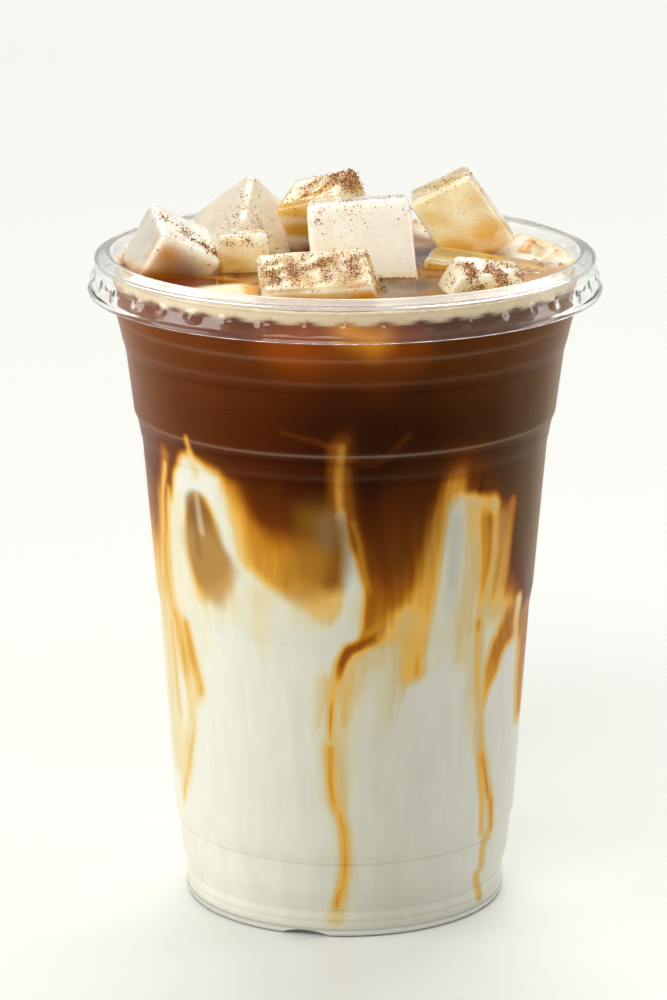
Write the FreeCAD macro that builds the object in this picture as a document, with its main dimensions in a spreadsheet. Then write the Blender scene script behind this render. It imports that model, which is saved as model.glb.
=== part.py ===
"""Iced latte in a clear ribbed take-away cup with a push-fit collar.

Millimetres, +Z up, origin at the centre of the foot the cup stands on.
The cup's wall climbs in bands: each band widens a little, and a short flared
ledge joins it to the next. Milk fills the lower half and coffee the upper half,
with a wavy meeting surface between them, foam lies on top along the wall, and
nine blocks of ice float in the coffee.
"""
import FreeCAD
import Part
import Sketcher
import itertools
import math
import os

# ---------------------------------------------------------------- sizes
CUP_SIZES = [
    ("cup_height", 132.5, "foot to the top of the rolled rim"),
    ("base_radius", 32.5, "outside radius where the cup stands"),
    ("wall", 0.6, "thickness of the cup's wall"),
    ("foot_width", 5.0, "width of the ring the cup stands on"),
    ("foot_slope", 1.5, "run of the slope from that ring up to the base's middle"),
    ("foot_floor", 2.0, "thickness of the plastic above that ring"),
    ("foot_round", 1.2, "rounding of the foot's outside edge"),
    ("push_up", 3.0, "height of the base's middle above the table"),
    ("notch_width", 9.3, "width of each air notch under the foot"),
    ("notch_height", 1.3, "height of each air notch under the foot"),
    ("notch_count", 3, "air notches round the foot"),
    ("notch_turn", -14.4, "turn of the first air notch from straight ahead"),
    ("rim_out", 2.6, "how far the rolled rim stands out of the wall"),
    ("rim_height", 2.9, "height of the rolled rim"),
    ("rim_round", 1.3, "rounding of the rolled rim's edges"),
]
# Each ledge: plain band under it, how much that band widens, ledge height, ledge flare.
LEDGES = [
    ("ledge_foot", 6.0, 0.25, 3.9, 1.15),
    ("ledge_low", 6.1, 0.5, 2.5, 0.7),
    ("ledge_middle", None, 2.8, 4.1, 0.75),
    ("ledge_groove", 30.1, 2.5, 1.4, 0.35),
    ("ledge_high", 2.9, 0.55, 1.7, 0.7),
    ("ledge_top", 12.7, 1.6, 1.3, 0.4),
    ("ledge_neck", 0.8, 0.25, 4.8, 1.1),
    ("ledge_mouth", 4.7, 0.5, 6.5, 0.0),
]
COLLAR_SIZES = [
    ("collar_wall", 0.5, "thickness of the collar"),
    ("collar_clear", 0.3, "gap between the rolled rim and the collar"),
    ("collar_lip", 1.1, "height of the collar's inner lip above its outer edge"),
    ("collar_band", 3.1, "width of the collar's sloping top band"),
    ("collar_round", 0.4, "rounding of the collar's outer edge"),
    ("skirt_drop", 3.6, "height of the collar's upright skirt"),
    ("flare_drop", 3.25, "height of the skirt's flared lower edge"),
    ("flare_out", 1.3, "how far the lower edge flares"),
    ("lug_count", 40, "grip lugs round the skirt"),
    ("lug_width", 3.6, "width of a grip lug"),
    ("lug_height", 2.6, "height of a grip lug"),
    ("lug_stand", 0.55, "how far a lug stands out of each side of the skirt"),
    ("lug_drop", 0.75, "how far a lug's middle lies below the rolled rim"),
]
DRINK_SIZES = [
    ("drink_gap", 2.0, "drop from the top of the rim to the drink's surface"),
    ("foam_depth", 1.8, "depth of the foam at the wall"),
    ("foam_width", 4.0, "width of the foam ring at its narrowest"),
    ("swirl_width", 9.0, "extra width of the foam in the swirl"),
    ("swirl_turn", 12.0, "direction of the swirl, anticlockwise from +X"),
    ("meeting_height", 74.0, "mean height at which coffee meets milk"),
    ("meeting_wave", 13.0, "height of the waves where they meet"),
]
ICE_EDGE_ROUND = 1.3

# Each block: width, depth, height; its middle across, along and above the drink's
# surface; yaw, pitch and roll; width and depth of its upper face, and that face's lean.
ICE_BLOCKS = {
    "ice_left": ((14.5, 15.0, 13.5), (-34.0, -3.5, 1.5), (18, 28, 15), (13.8, 16.5, -1.0)),
    "ice_back_left": ((15.0, 17.0, 19.0), (-21.5, 19.0, 1.5), (25, 41, -52), (12.6, 16.7, 0.5)),
    "ice_small": ((11.0, 12.0, 13.0), (-19.5, -2.0, 0.5), (2, -1, -7), (10.3, 11.2, -1.0)),
    "ice_middle_back": ((15.0, 14.0, 15.0), (-3.5, 15.5, 6.0), (-27, -14, 20), (14.1, 12.5, 0.0)),
    "ice_tall": ((21.0, 15.0, 18.5), (3.5, -4.5, 5.0), (1, -4, -7), (20.0, 14.1, -0.5)),
    "ice_front": ((25.0, 17.5, 14.0), (-3.0, -25.5, -1.5), (5, -3, 19), (21.8, 15.8, -3.0)),
    "ice_back_right": ((14.5, 15.0, 16.5), (24.5, 15.5, 7.0), (2, -25, -2), (13.4, 15.0, -2.5)),
    "ice_slab": ((26.5, 12.5, 9.0), (29.5, -0.5, -3.5), (-12, 6, 2), (25.2, 11.8, -1.0)),
    "ice_front_right": ((18.5, 11.5, 13.0), (24.8, -22.3, -1.6), (6, 7, 11), (12.6, 10.8, 2.4)),
}
# Waves of the meeting surface: direction anticlockwise from +X, share of meeting_wave.
MEETING_LOBES = [(230, 1.7), (265, -0.9), (303, 1.2), (345, -0.4), (60, 0.8), (115, -0.6), (175, -0.3)]
LOBE_SPREAD = 21.0  # degrees round the cup in which a wave dies away
MEETING_MARGIN = 1.2  # how far the surface runs past the cup's mouth, as a factor
MEETING_STEPS = 24  # spans across the surface in each direction
SWIRL_SPREAD = 24.0  # degrees round the cup in which the swirl narrows
FOAM_RIPPLE = 0.5  # height of the small ripples in the foam's inner edge
FOAM_RIPPLES = 7  # ripples once round
FOAM_STEP = 12  # degrees between the points that the foam's inner edge runs through
EDGE_MATCH = 0.01  # how close an edge must lie to count as the one looked for

doc = FreeCAD.newDocument("iced_latte")
sheet = doc.addObject("Spreadsheet::Sheet", "sizes")
sheet_line = itertools.count(1)


def write_rows(rows):
    """Adds one line to the sheet for each (name, value, note)."""
    for name, value, note in rows:
        line = next(sheet_line)
        sheet.set(f"A{line}", name)
        sheet.set(f"B{line}", str(value))
        sheet.set(f"C{line}", note)
        sheet.setAlias(f"B{line}", name)


def fill_sheet():
    """Writes every driving size into the sheet."""
    write_rows(CUP_SIZES)
    for name, band, widening, height, flare in LEDGES:
        if band is not None:
            write_rows([(f"{name}_band", band, "plain band under the ledge")])
        write_rows([
            (f"{name}_widening", widening, "how much that band widens"),
            (f"{name}_height", height, "height of the ledge"),
            (f"{name}_flare", flare, "how far the ledge steps out"),
        ])
    write_rows(COLLAR_SIZES + DRINK_SIZES)
    write_rows([("ice_round", ICE_EDGE_ROUND, "rounding of the ice blocks' edges")])
    labels = ["width", "depth", "height", "x", "y", "z", "yaw", "pitch", "roll"]
    labels += ["upper_width", "upper_depth", "lean"]
    for name, groups in ICE_BLOCKS.items():
        values = itertools.chain(*groups)
        write_rows([(f"{name}_{label}", value, "ice block") for label, value in zip(labels, values)])
    doc.recompute()


def size(name):
    """A value of the sheet as a plain number."""
    return float(sheet.get(name))


def cell(name):
    """The same value as it is written in an expression."""
    return f"sizes.{name}"


# ---------------------------------------------------------------- drawing helpers
def new_body(name):
    """A PartDesign body whose label is its node name."""
    body = doc.addObject("PartDesign::Body", name)
    body.Label = name
    return body


def origin_feature(body, role):
    """One of the body's own origin planes or axes."""
    return next(item for item in body.Origin.OriginFeatures if item.Role == role)


def upright_outline(body, name, corners):
    """A closed outline in the upright plane; each corner is (radius, height) as expressions."""
    sketch = body.newObject("Sketcher::SketchObject", name)
    sketch.AttachmentSupport = [(origin_feature(body, "XZ_Plane"), "")]
    sketch.MapMode = "FlatFace"
    probe = [FreeCAD.Vector(evaluate(radius), evaluate(height), 0) for radius, height in corners]
    for index, start in enumerate(probe):
        end = probe[(index + 1) % len(probe)]
        sketch.addGeometry(Part.LineSegment(start, end), False)
    for index in range(len(corners)):
        following = (index + 1) % len(corners)
        sketch.addConstraint(Sketcher.Constraint("Coincident", index, 2, following, 1))
    for index, corner in enumerate(corners):
        for kind, expression, value in zip(("DistanceX", "DistanceY"), corner, probe[index]):
            row = sketch.addConstraint(Sketcher.Constraint(kind, -1, 1, index, 1, value))
            sketch.setExpression(f"Constraints[{row}]", expression)
    return sketch


def evaluate(expression):
    """The present value of an expression, as a number."""
    return float(sheet.evalExpression(expression))


def revolve(body, sketch, name="turned"):
    """Turns an upright outline once round the body's axis."""
    turned = body.newObject("PartDesign::Revolution", name)
    turned.Profile = sketch
    turned.ReferenceAxis = (sketch, ["V_Axis"])
    turned.Angle = 360
    return turned


def ring_pattern(body, feature, name, count):
    """Repeats a feature evenly round the body's upright axis."""
    pattern = body.newObject("PartDesign::PolarPattern", name)
    pattern.Originals = [feature]
    pattern.Axis = (origin_feature(body, "Z_Axis"), [""])
    pattern.Angle = 360
    pattern.setExpression("Occurrences", count)
    body.Tip = pattern
    return pattern


def circle_edges(shape, radius, height):
    """Names of the round edges that lie at this radius and height."""
    names = []
    for index, edge in enumerate(shape.Edges, start=1):
        curve = edge.Curve
        if isinstance(curve, Part.Circle):
            same_radius = abs(curve.Radius - radius) < EDGE_MATCH
            same_height = abs(curve.Center.z - height) < EDGE_MATCH
            if same_radius and same_height:
                names.append(f"Edge{index}")
    return names


def round_edges(body, feature, edges, radius):
    """Rounds the named edges of a feature, or all of them when none are named."""
    rounded = body.newObject("PartDesign::Fillet", "rounded")
    rounded.Base = (feature, edges)
    rounded.UseAllEdges = not edges
    rounded.setExpression("Radius", radius)
    body.Tip = rounded
    return rounded


# ---------------------------------------------------------------- shared places
def band_height(name):
    """Height of the plain band under a ledge; the middle one takes what the others leave."""
    if name != "ledge_middle":
        return cell(f"{name}_band")
    others = [cell(f"{other}_band") for other, band, *rest in LEDGES if band is not None]
    others += [cell(f"{other}_height") for other, *rest in LEDGES]
    return f"({cell('cup_height')} - {' - '.join(others)})"


def wall_corners(inset):
    """Corners of the wall from the lowest ledge to the mouth, drawn in by an inset."""
    radius = f"{cell('base_radius')} - {inset}"
    height = "0"
    corners = []
    for name, *rest in LEDGES:
        radius = f"{radius} + {cell(name + '_widening')}"
        height = f"{height} + {band_height(name)}"
        corners.append((radius, height))
        radius = f"{radius} + {cell(name + '_flare')}"
        height = f"{height} + {cell(name + '_height')}"
        corners.append((radius, height))
    return corners


def floor_corners():
    """Corners of the inside floor, from the axis out to the foot of the wall."""
    slope_foot = f"{cell('base_radius')} - {cell('foot_width')} + {cell('wall')}"
    lowest = LEDGES[0][0]
    spread = f"{cell(lowest + '_widening')} * {cell('foot_floor')} / {cell(lowest + '_band')}"
    return [
        ("0", f"{cell('push_up')} + {cell('wall')}"),
        (f"{slope_foot} - {cell('foot_slope')}", f"{cell('push_up')} + {cell('wall')}"),
        (slope_foot, cell("foot_floor")),
        (f"{cell('base_radius')} - {cell('wall')} + {spread}", cell("foot_floor")),
    ]


MOUTH_RADIUS = wall_corners("0")[-1][0]
MOUTH_INSIDE = wall_corners(cell("wall"))[-1][0]
RIM_OUTSIDE = f"{MOUTH_RADIUS} + {cell('rim_out')}"
RIM_BOTTOM = f"{cell('cup_height')} - {cell('rim_height')}"
DRINK_LEVEL = f"{cell('cup_height')} - {cell('drink_gap')}"


# ---------------------------------------------------------------- cup and collar
def make_cup():
    """Thin ribbed cup: one turned wall, base and rolled rim, with air notches underneath."""
    body = new_body("cup")
    foot_inside = f"{cell('base_radius')} - {cell('foot_width')}"
    under = [
        ("0", cell("push_up")),
        (f"{foot_inside} - {cell('foot_slope')}", cell("push_up")),
        (foot_inside, "0"),
        (cell("base_radius"), "0"),
    ]
    rim = [
        (MOUTH_RADIUS, RIM_BOTTOM),
        (RIM_OUTSIDE, RIM_BOTTOM),
        (RIM_OUTSIDE, cell("cup_height")),
    ]
    inside = floor_corners() + wall_corners(cell("wall"))
    corners = under + wall_corners("0")[:-1] + rim + inside[::-1]
    turned = revolve(body, upright_outline(body, "cup_outline", corners))
    doc.recompute()
    top = size("cup_height")
    rim_edges = circle_edges(turned.Shape, evaluate(RIM_OUTSIDE), evaluate(RIM_BOTTOM))
    rim_edges += circle_edges(turned.Shape, evaluate(RIM_OUTSIDE), top)
    rim_edges += circle_edges(turned.Shape, evaluate(MOUTH_INSIDE), top)
    rolled = round_edges(body, turned, rim_edges, cell("rim_round"))
    doc.recompute()
    foot_edge = circle_edges(rolled.Shape, size("base_radius"), 0)
    round_edges(body, rolled, foot_edge, cell("foot_round"))
    notch = body.newObject("PartDesign::SubtractiveCylinder", "air_notch")
    width = cell("notch_width")
    rise = cell("notch_height")
    arch = f"({width} * {width} / 4 + {rise} * {rise}) / (2 * {rise})"
    notch.setExpression("Radius", arch)
    # The cutter runs half a foot's width past the ring on both sides.
    notch.setExpression("Height", f"{cell('foot_width')} * 2")
    radial = FreeCAD.Rotation(FreeCAD.Vector(1, 0, 0), 90)
    notch.Placement = FreeCAD.Placement(FreeCAD.Vector(0, 0, 0), radial)
    notch.setExpression("Placement.Base.y", f"{cell('foot_width')} * 1.5 - {cell('base_radius')}")
    notch.setExpression("Placement.Base.z", f"{rise} - {arch}")
    ring_pattern(body, notch, "air_notches", cell("notch_count"))
    body.setExpression("Placement.Rotation.Angle", cell("notch_turn"))
    return body


def make_collar():
    """Clear push-fit collar: sloping top band, upright skirt with lugs and a flared edge."""
    body = new_body("collar")
    inside = f"{RIM_OUTSIDE} + {cell('collar_clear')}"
    outside = f"{inside} + {cell('collar_wall')}"
    mouth = f"{outside} - {cell('collar_band')}"
    edge = f"{cell('cup_height')} + {cell('collar_clear')}"
    lip = f"{edge} + {cell('collar_lip')}"
    skirt = f"{edge} - {cell('skirt_drop')}"
    lowest = f"{skirt} - {cell('flare_drop')}"
    corners = [
        (mouth, f"{lip} - {cell('collar_wall')}"),
        (mouth, lip),
        (outside, edge),
        (outside, skirt),
        (f"{outside} + {cell('flare_out')}", lowest),
        (f"{inside} + {cell('flare_out')}", lowest),
        (inside, skirt),
        (inside, f"{edge} - {cell('collar_wall')}"),
    ]
    turned = revolve(body, upright_outline(body, "collar_outline", corners))
    doc.recompute()
    outer_edge = circle_edges(turned.Shape, evaluate(outside), evaluate(edge))
    round_edges(body, turned, outer_edge, cell("collar_round"))
    lug = body.newObject("PartDesign::AdditiveEllipsoid", "grip_lug")
    lug.setExpression("Radius1", f"{cell('lug_height')} / 2")
    lug.setExpression("Radius2", f"{cell('lug_stand')} + {cell('collar_wall')} / 2")
    lug.setExpression("Radius3", f"{cell('lug_width')} / 2")
    lug.setExpression("Placement.Base.x", f"{inside} + {cell('collar_wall')} / 2")
    lug.setExpression("Placement.Base.z", f"{RIM_BOTTOM} - {cell('lug_drop')}")
    ring_pattern(body, lug, "grip_lugs", cell("lug_count"))
    return body


# ---------------------------------------------------------------- ice
def make_ice(name):
    """One tapered block with rounded edges, turned and set in the drink's surface."""
    body = new_body(name)
    block = body.newObject("PartDesign::AdditiveWedge", "block")
    # The wedge tapers along its own Y, which the turn below stands upright.
    reaches = {
        "X": (f"{name}_width", f"{name}_upper_width", f"{name}_lean"),
        "Z": (f"{name}_depth", f"{name}_upper_depth", None),
    }
    for axis, (lower, upper, lean) in reaches.items():
        shift = cell(lean) if lean else "0"
        block.setExpression(f"{axis}min", f"-{cell(lower)} / 2")
        block.setExpression(f"{axis}max", f"{cell(lower)} / 2")
        block.setExpression(f"{axis}2min", f"{shift} - {cell(upper)} / 2")
        block.setExpression(f"{axis}2max", f"{shift} + {cell(upper)} / 2")
    block.setExpression("Ymin", f"-{cell(name + '_height')} / 2")
    block.setExpression("Ymax", f"{cell(name + '_height')} / 2")
    upright = FreeCAD.Rotation(FreeCAD.Vector(1, 0, 0), 90)
    block.Placement = FreeCAD.Placement(FreeCAD.Vector(0, 0, 0), upright)
    doc.recompute()
    round_edges(body, block, [], cell("ice_round"))
    middle = f"vector({cell(name + '_x')}; {cell(name + '_y')}; {DRINK_LEVEL} + {cell(name + '_z')})"
    turn = f"rotation({cell(name + '_yaw')}; {cell(name + '_pitch')}; {cell(name + '_roll')})"
    body.setExpression("Placement", f"placement({middle}; {turn})")
    return body


# ---------------------------------------------------------------- drink
def bump(direction, middle, spread):
    """A smooth hill of height 1 at one direction, in degrees round the cup."""
    away = (direction - middle + 180) % 360 - 180
    return math.exp(-(away / spread) ** 2)


def meeting_surface_height(x, y):
    """Height at which coffee meets milk, above a point of the floor."""
    direction = math.degrees(math.atan2(y, x))
    share = sum(part * bump(direction, middle, LOBE_SPREAD) for middle, part in MEETING_LOBES)
    outward = min(math.hypot(x, y) / size("base_radius"), 1.0)
    return size("meeting_height") + size("meeting_wave") * share * outward**2


def make_milk_mould():
    """A block of everything under the wavy surface where coffee meets milk."""
    reach = evaluate(MOUTH_RADIUS) * MEETING_MARGIN
    places = [reach * (2 * index / MEETING_STEPS - 1) for index in range(MEETING_STEPS + 1)]
    rows = [[FreeCAD.Vector(x, y, meeting_surface_height(x, y)) for y in places] for x in places]
    surface = Part.BSplineSurface()
    surface.interpolate(rows)
    mould = doc.addObject("Part::Feature", "milk_mould")
    mould.Shape = surface.toShape().extrude(FreeCAD.Vector(0, 0, -2 * size("cup_height")))
    return mould


def make_foam_ring():
    """A flat ring of foam along the wall, wider where it swirls into the coffee."""
    outside = evaluate(MOUTH_INSIDE)
    level = evaluate(DRINK_LEVEL)
    bottom = level - size("foam_depth")
    points = []
    for direction in range(0, 360, FOAM_STEP):
        width = size("foam_width") + FOAM_RIPPLE * math.sin(math.radians(direction) * FOAM_RIPPLES)
        width += size("swirl_width") * bump(direction, size("swirl_turn"), SWIRL_SPREAD)
        across = (outside - width) * math.cos(math.radians(direction))
        along = (outside - width) * math.sin(math.radians(direction))
        points.append(FreeCAD.Vector(across, along, bottom))
    edge = Part.BSplineCurve()
    edge.interpolate(points, PeriodicFlag=True)
    inner = Part.Wire([edge.toShape()])
    outer = Part.Wire([Part.makeCircle(outside, FreeCAD.Vector(0, 0, bottom))])
    ring = doc.addObject("Part::Feature", "foam_ring")
    depth = FreeCAD.Vector(0, 0, size("foam_depth"))
    face = Part.makeFace([outer, inner], "Part::FaceMakerBullseye")
    ring.Shape = face.extrude(depth)
    return ring


def combine(kind, name, base, tool):
    """One Part boolean of two objects."""
    result = doc.addObject(kind, name)
    result.Label = name
    result.Base = base
    result.Tool = tool
    return result


def make_drink(ice):
    """Milk below, coffee above cut round the ice, and foam along the wall."""
    filled = new_body("filled")
    wall = wall_corners(cell("wall"))[:-1]
    corners = floor_corners() + wall + [(MOUTH_INSIDE, DRINK_LEVEL), ("0", DRINK_LEVEL)]
    revolve(filled, upright_outline(filled, "drink_outline", corners))
    mould = make_milk_mould()
    blocks = doc.addObject("Part::MultiFuse", "all_ice")
    blocks.Shapes = ice
    milk = combine("Part::Common", "milk", filled, mould)
    upper = combine("Part::Cut", "upper_drink", filled, mould)
    foam = combine("Part::Cut", "foam", make_foam_ring(), blocks)
    clear_of_ice = combine("Part::Cut", "coffee_round_ice", upper, blocks)
    coffee = combine("Part::Cut", "coffee", clear_of_ice, foam)
    return [milk, coffee, foam]


# ---------------------------------------------------------------- whole
def check_document(pieces):
    """Stops if any feature failed or any piece has no good shape."""
    for item in doc.Objects:
        failed = [state for state in item.State if state in ("Invalid", "Error")]
        if failed:
            raise RuntimeError(f"{item.Label} did not build: {failed}")
    for piece in pieces:
        shape = piece.Shape
        if shape.isNull() or not shape.isValid() or not shape.Solids:
            raise RuntimeError(f"{piece.Label} has no good shape")


def main():
    """Builds every piece and writes one STEP file for each."""
    fill_sheet()
    ice = [make_ice(name) for name in ICE_BLOCKS]
    pieces = [make_cup(), make_collar()] + make_drink(ice) + ice
    doc.recompute()
    check_document(pieces)
    os.makedirs("parts", exist_ok=True)
    for piece in pieces:
        shape = piece.Shape
        shape.exportStep(f"parts/{piece.Label}.step")
        print(f"{piece.Label}: {len(shape.Solids)} solid, {shape.Volume / 1000:.2f} ml")


main()
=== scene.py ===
"""Iced latte in a clear ribbed take-away cup: the looks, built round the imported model.

Run as a script. Each operator makes one piece or one group of like pieces; main() calls
them in order. Lengths are metres. They are millimetres where a name ends in _mm, in the
tables of looks, in the painting of colours and in the ripples and froth of the surface.
Directions on the wall count from straight ahead, positive to the right: degrees in the
tables and radians in the shapes.
"""
import bpy
import bmesh
import math
import numpy as np
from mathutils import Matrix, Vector
from mathutils.bvhtree import BVHTree


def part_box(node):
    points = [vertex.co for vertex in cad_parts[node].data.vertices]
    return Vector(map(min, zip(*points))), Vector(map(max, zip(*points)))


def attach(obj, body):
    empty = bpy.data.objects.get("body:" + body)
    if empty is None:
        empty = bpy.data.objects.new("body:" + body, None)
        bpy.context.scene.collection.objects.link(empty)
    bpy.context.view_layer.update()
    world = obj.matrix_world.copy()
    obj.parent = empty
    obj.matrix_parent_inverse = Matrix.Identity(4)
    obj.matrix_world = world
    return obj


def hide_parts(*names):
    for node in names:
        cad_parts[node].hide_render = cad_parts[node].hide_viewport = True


bl_info = {
    "name": "Iced latte",
    "version": (1, 0, 0),
    "blender": (4, 5, 0),
    "location": "View3D > Sidebar > Iced latte",
    "description": "Builds an iced latte with its clear cup, ice, foam and cocoa",
    "category": "Object",
}

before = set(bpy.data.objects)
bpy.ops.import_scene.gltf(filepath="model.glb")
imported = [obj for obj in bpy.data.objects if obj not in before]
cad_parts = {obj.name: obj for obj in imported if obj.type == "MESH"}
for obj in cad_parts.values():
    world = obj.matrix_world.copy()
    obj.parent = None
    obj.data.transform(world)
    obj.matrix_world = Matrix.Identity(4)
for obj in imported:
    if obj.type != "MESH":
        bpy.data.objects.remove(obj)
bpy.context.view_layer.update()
MM = 0.001
CUP_LOW, CUP_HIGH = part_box("cup")
FOAM_LOW, FOAM_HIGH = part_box("foam")
LEVEL = FOAM_HIGH.z
FOAM_BOTTOM = FOAM_LOW.z
MOUTH = FOAM_HIGH.x
CLEAR_TURN = math.radians(50)  # a direction clear of the foot's notches
WALL_RADIUS_MM = 42.0  # halfway up
MM_PER_DEGREE = 0.73  # wall met in one degree at that radius
DARKEST = 0.001  # no stain is blacker, in linear light
SURFACE_COFFEE = "#7C4A24"
NOTCHES = 3  # air notches under the foot
COLLAR_STEPS = 720  # columns once round the collar
GOLD_LIFT = 0.075  # green given back to stained ice for its red less its blue
ICE_DEPTH = 1.05  # power that deepens a block's stain
ICE_NODES = sorted(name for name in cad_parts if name.startswith("ice_"))


# ---------------------------------------------------------------- numbers and colours
def colour(text):
    """An sRGB hex text as linear red, green and blue."""
    parts = np.array([int(text[index:index + 2], 16) for index in (1, 3, 5)]) / 255.0
    return np.where(parts <= 0.04045, parts / 12.92, ((parts + 0.055) / 1.055) ** 2.4)


def with_alpha(text):
    """The same colour as the four numbers a socket takes."""
    return (*colour(text), 1.0)


def smooth_step(values):
    """0 below 0, 1 above 1, and the cubic 3t^2 - 2t^3 between."""
    held = np.clip(values, 0.0, 1.0)
    return held * held * (3.0 - 2.0 * held)


def lay(stain, text, cover):
    """Mixes a colour into a stain, in place, by the cover at each vertex."""
    stain += (colour(text) - stain) * cover[:, None]


def ripple(seed, count, wavelength, *coordinates):
    """A smooth random field, nearly all of it between -1 and 1: waves in random directions.

    Each wave is sin(k . p + phase), where k has a random direction and a length of 2 pi
    over a wavelength from 0.67 to 1.5 times the one given. Their sum is divided by 1.5
    times the root of their number.
    """
    chance = np.random.default_rng(seed)
    total = np.zeros_like(coordinates[0], dtype=float)
    for _ in range(count):
        direction = chance.normal(size=len(coordinates))
        direction *= 2 * np.pi / (wavelength * chance.uniform(0.67, 1.5) * np.linalg.norm(direction))
        phase = chance.uniform(0, 2 * np.pi)
        total += np.sin(sum(part * place for part, place in zip(direction, coordinates)) + phase)
    return total / math.sqrt(count) / 1.5


# ---------------------------------------------------------------- meshes
def placed(name, data):
    """A new object in the scene that shows this data."""
    shown = bpy.data.objects.new(name, data)
    bpy.context.scene.collection.objects.link(shown)
    return shown


def mesh_object(name, points, quads, triangles=None, stain=None):
    """A smooth-shaded object from whole arrays of points and faces, faces turned outwards."""
    triangles = np.zeros((0, 3), int) if triangles is None else triangles
    split = np.concatenate([quads[:, [0, 1, 2]], quads[:, [0, 2, 3]], triangles])
    corners = points[split]
    volume = np.einsum("ij,ij->i", corners[:, 0], np.cross(corners[:, 1], corners[:, 2])).sum()
    if volume < 0:
        quads = quads[:, ::-1]
        triangles = triangles[:, ::-1]
    mesh = bpy.data.meshes.new(name)
    mesh.vertices.add(len(points))
    mesh.vertices.foreach_set("co", points.astype(np.float32).ravel())
    mesh.loops.add(quads.size + triangles.size)
    met = np.concatenate([quads.ravel(), triangles.ravel()]).astype(np.int32)
    mesh.loops.foreach_set("vertex_index", met)
    starts = np.concatenate([np.arange(len(quads)) * 4, quads.size + np.arange(len(triangles)) * 3])
    mesh.polygons.add(len(starts))
    mesh.polygons.foreach_set("loop_start", starts.astype(np.int32))
    mesh.update(calc_edges=True)
    mesh.validate()
    mesh.polygons.foreach_set("use_smooth", np.ones(len(mesh.polygons), bool))
    if stain is not None:
        add_colour(mesh, "stain", stain)
    return placed(name, mesh)


def add_colour(mesh, name, values):
    """Stores one linear colour per vertex."""
    layer = mesh.attributes.new(name, "FLOAT_COLOR", "POINT")
    filled = np.ones((len(values), 4), np.float32)
    filled[:, :3] = values
    layer.data.foreach_set("color", filled.ravel())


def add_share(mesh, name, values):
    """Stores one number per vertex."""
    layer = mesh.attributes.new(name, "FLOAT", "POINT")
    layer.data.foreach_set("value", values.astype(np.float32))


def vertex_places(mesh):
    """Every vertex of a mesh as rows of x, y and z."""
    places = np.empty(len(mesh.vertices) * 3, np.float32)
    mesh.vertices.foreach_get("co", places)
    return places.reshape(-1, 3)


def spread(values, turn):
    """One value per row, the same at every angle round the cup."""
    return np.repeat(values[:, None], len(turn), 1)


def grid_quads(rows, columns, close_rows=False):
    """Quads of a grid whose columns close into a ring, and its rows too if asked."""
    row = np.arange(rows if close_rows else rows - 1)
    column = np.arange(columns)
    first, second = np.meshgrid(row, column, indexing="ij")
    after_row = (first + 1) % rows
    after_column = (second + 1) % columns
    corners = [first * columns + second, first * columns + after_column]
    corners += [after_row * columns + after_column, after_row * columns + second]
    return np.stack(corners, -1).reshape(-1, 4)


def turned(name, radius, height, turn, stain=None, closed_section=False):
    """A surface of revolution: point (row, column) is radius * (sin turn, -cos turn) at height.

    radius and height are whole grids. An open section ends on the axis at both ends,
    where one vertex and a fan of triangles close it.
    """
    rows, columns = radius.shape
    across = radius * np.sin(turn)[None, :]
    along = -radius * np.cos(turn)[None, :]
    points = np.stack([across, along, height], -1).reshape(-1, 3)
    quads = grid_quads(rows, columns, closed_section)
    if closed_section:
        return mesh_object(name, points, quads, stain=stain)
    ends = np.array([[0, 0, height[0].mean()], [0, 0, height[-1].mean()]])
    ring = np.arange(columns)
    after = (ring + 1) % columns
    last = (rows - 1) * columns
    first_fan = np.stack([np.full(columns, len(points)), after, ring], -1)
    last_fan = np.stack([np.full(columns, len(points) + 1), last + ring, last + after], -1)
    if stain is not None:
        stain = np.concatenate([stain, stain[:1], stain[-1:]])
    fans = np.concatenate([first_fan, last_fan])
    return mesh_object(name, np.concatenate([points, ends]), quads, fans, stain)


def front_weighted_turns(columns, crowd=0.45):
    """Angles once round the cup, closest together in front: t - crowd * sin t."""
    even = np.arange(columns) * 2 * np.pi / columns - np.pi
    return even - crowd * np.sin(even)


def node_tree_of(name):
    """A search tree over a CAD node's faces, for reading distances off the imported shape."""
    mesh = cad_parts[name].data
    points = [vertex.co for vertex in mesh.vertices]
    faces = [tuple(face.vertices) for face in mesh.polygons]
    return BVHTree.FromPolygons(points, faces)


def read_radius(tree, heights, turn, inside):
    """Radius of a CAD wall at each height, met from the axis or from outside."""
    direction = Vector((math.sin(turn), -math.cos(turn), 0))
    radii = []
    for level in heights:
        start = Vector((0, 0, level)) if inside else direction * 0.2 + Vector((0, 0, level))
        hit = tree.ray_cast(start, direction if inside else -direction)[0]
        radii.append(math.hypot(hit.x, hit.y))
    return np.array(radii)


def read_height(tree, radii, turn, start, upwards):
    """Height of a CAD floor at each radius, met from below or from above."""
    heights = []
    for radius in radii:
        place = Vector((radius * math.sin(turn), -radius * math.cos(turn), start))
        hit = tree.ray_cast(place, Vector((0, 0, 1 if upwards else -1)))[0]
        heights.append(hit.z)
    return np.array(heights)


def rounded(values, width):
    """Softens the corners of a profile with a running mean over width samples, an odd number."""
    half = width // 2
    padded = np.concatenate([np.full(half, values[0]), values, np.full(half, values[-1])])
    return np.convolve(padded, np.ones(2 * half + 1) / (2 * half + 1), "valid")


CUP_BASE = read_radius(node_tree_of("cup"), [3 * MM], CLEAR_TURN, False)[0]


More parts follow.
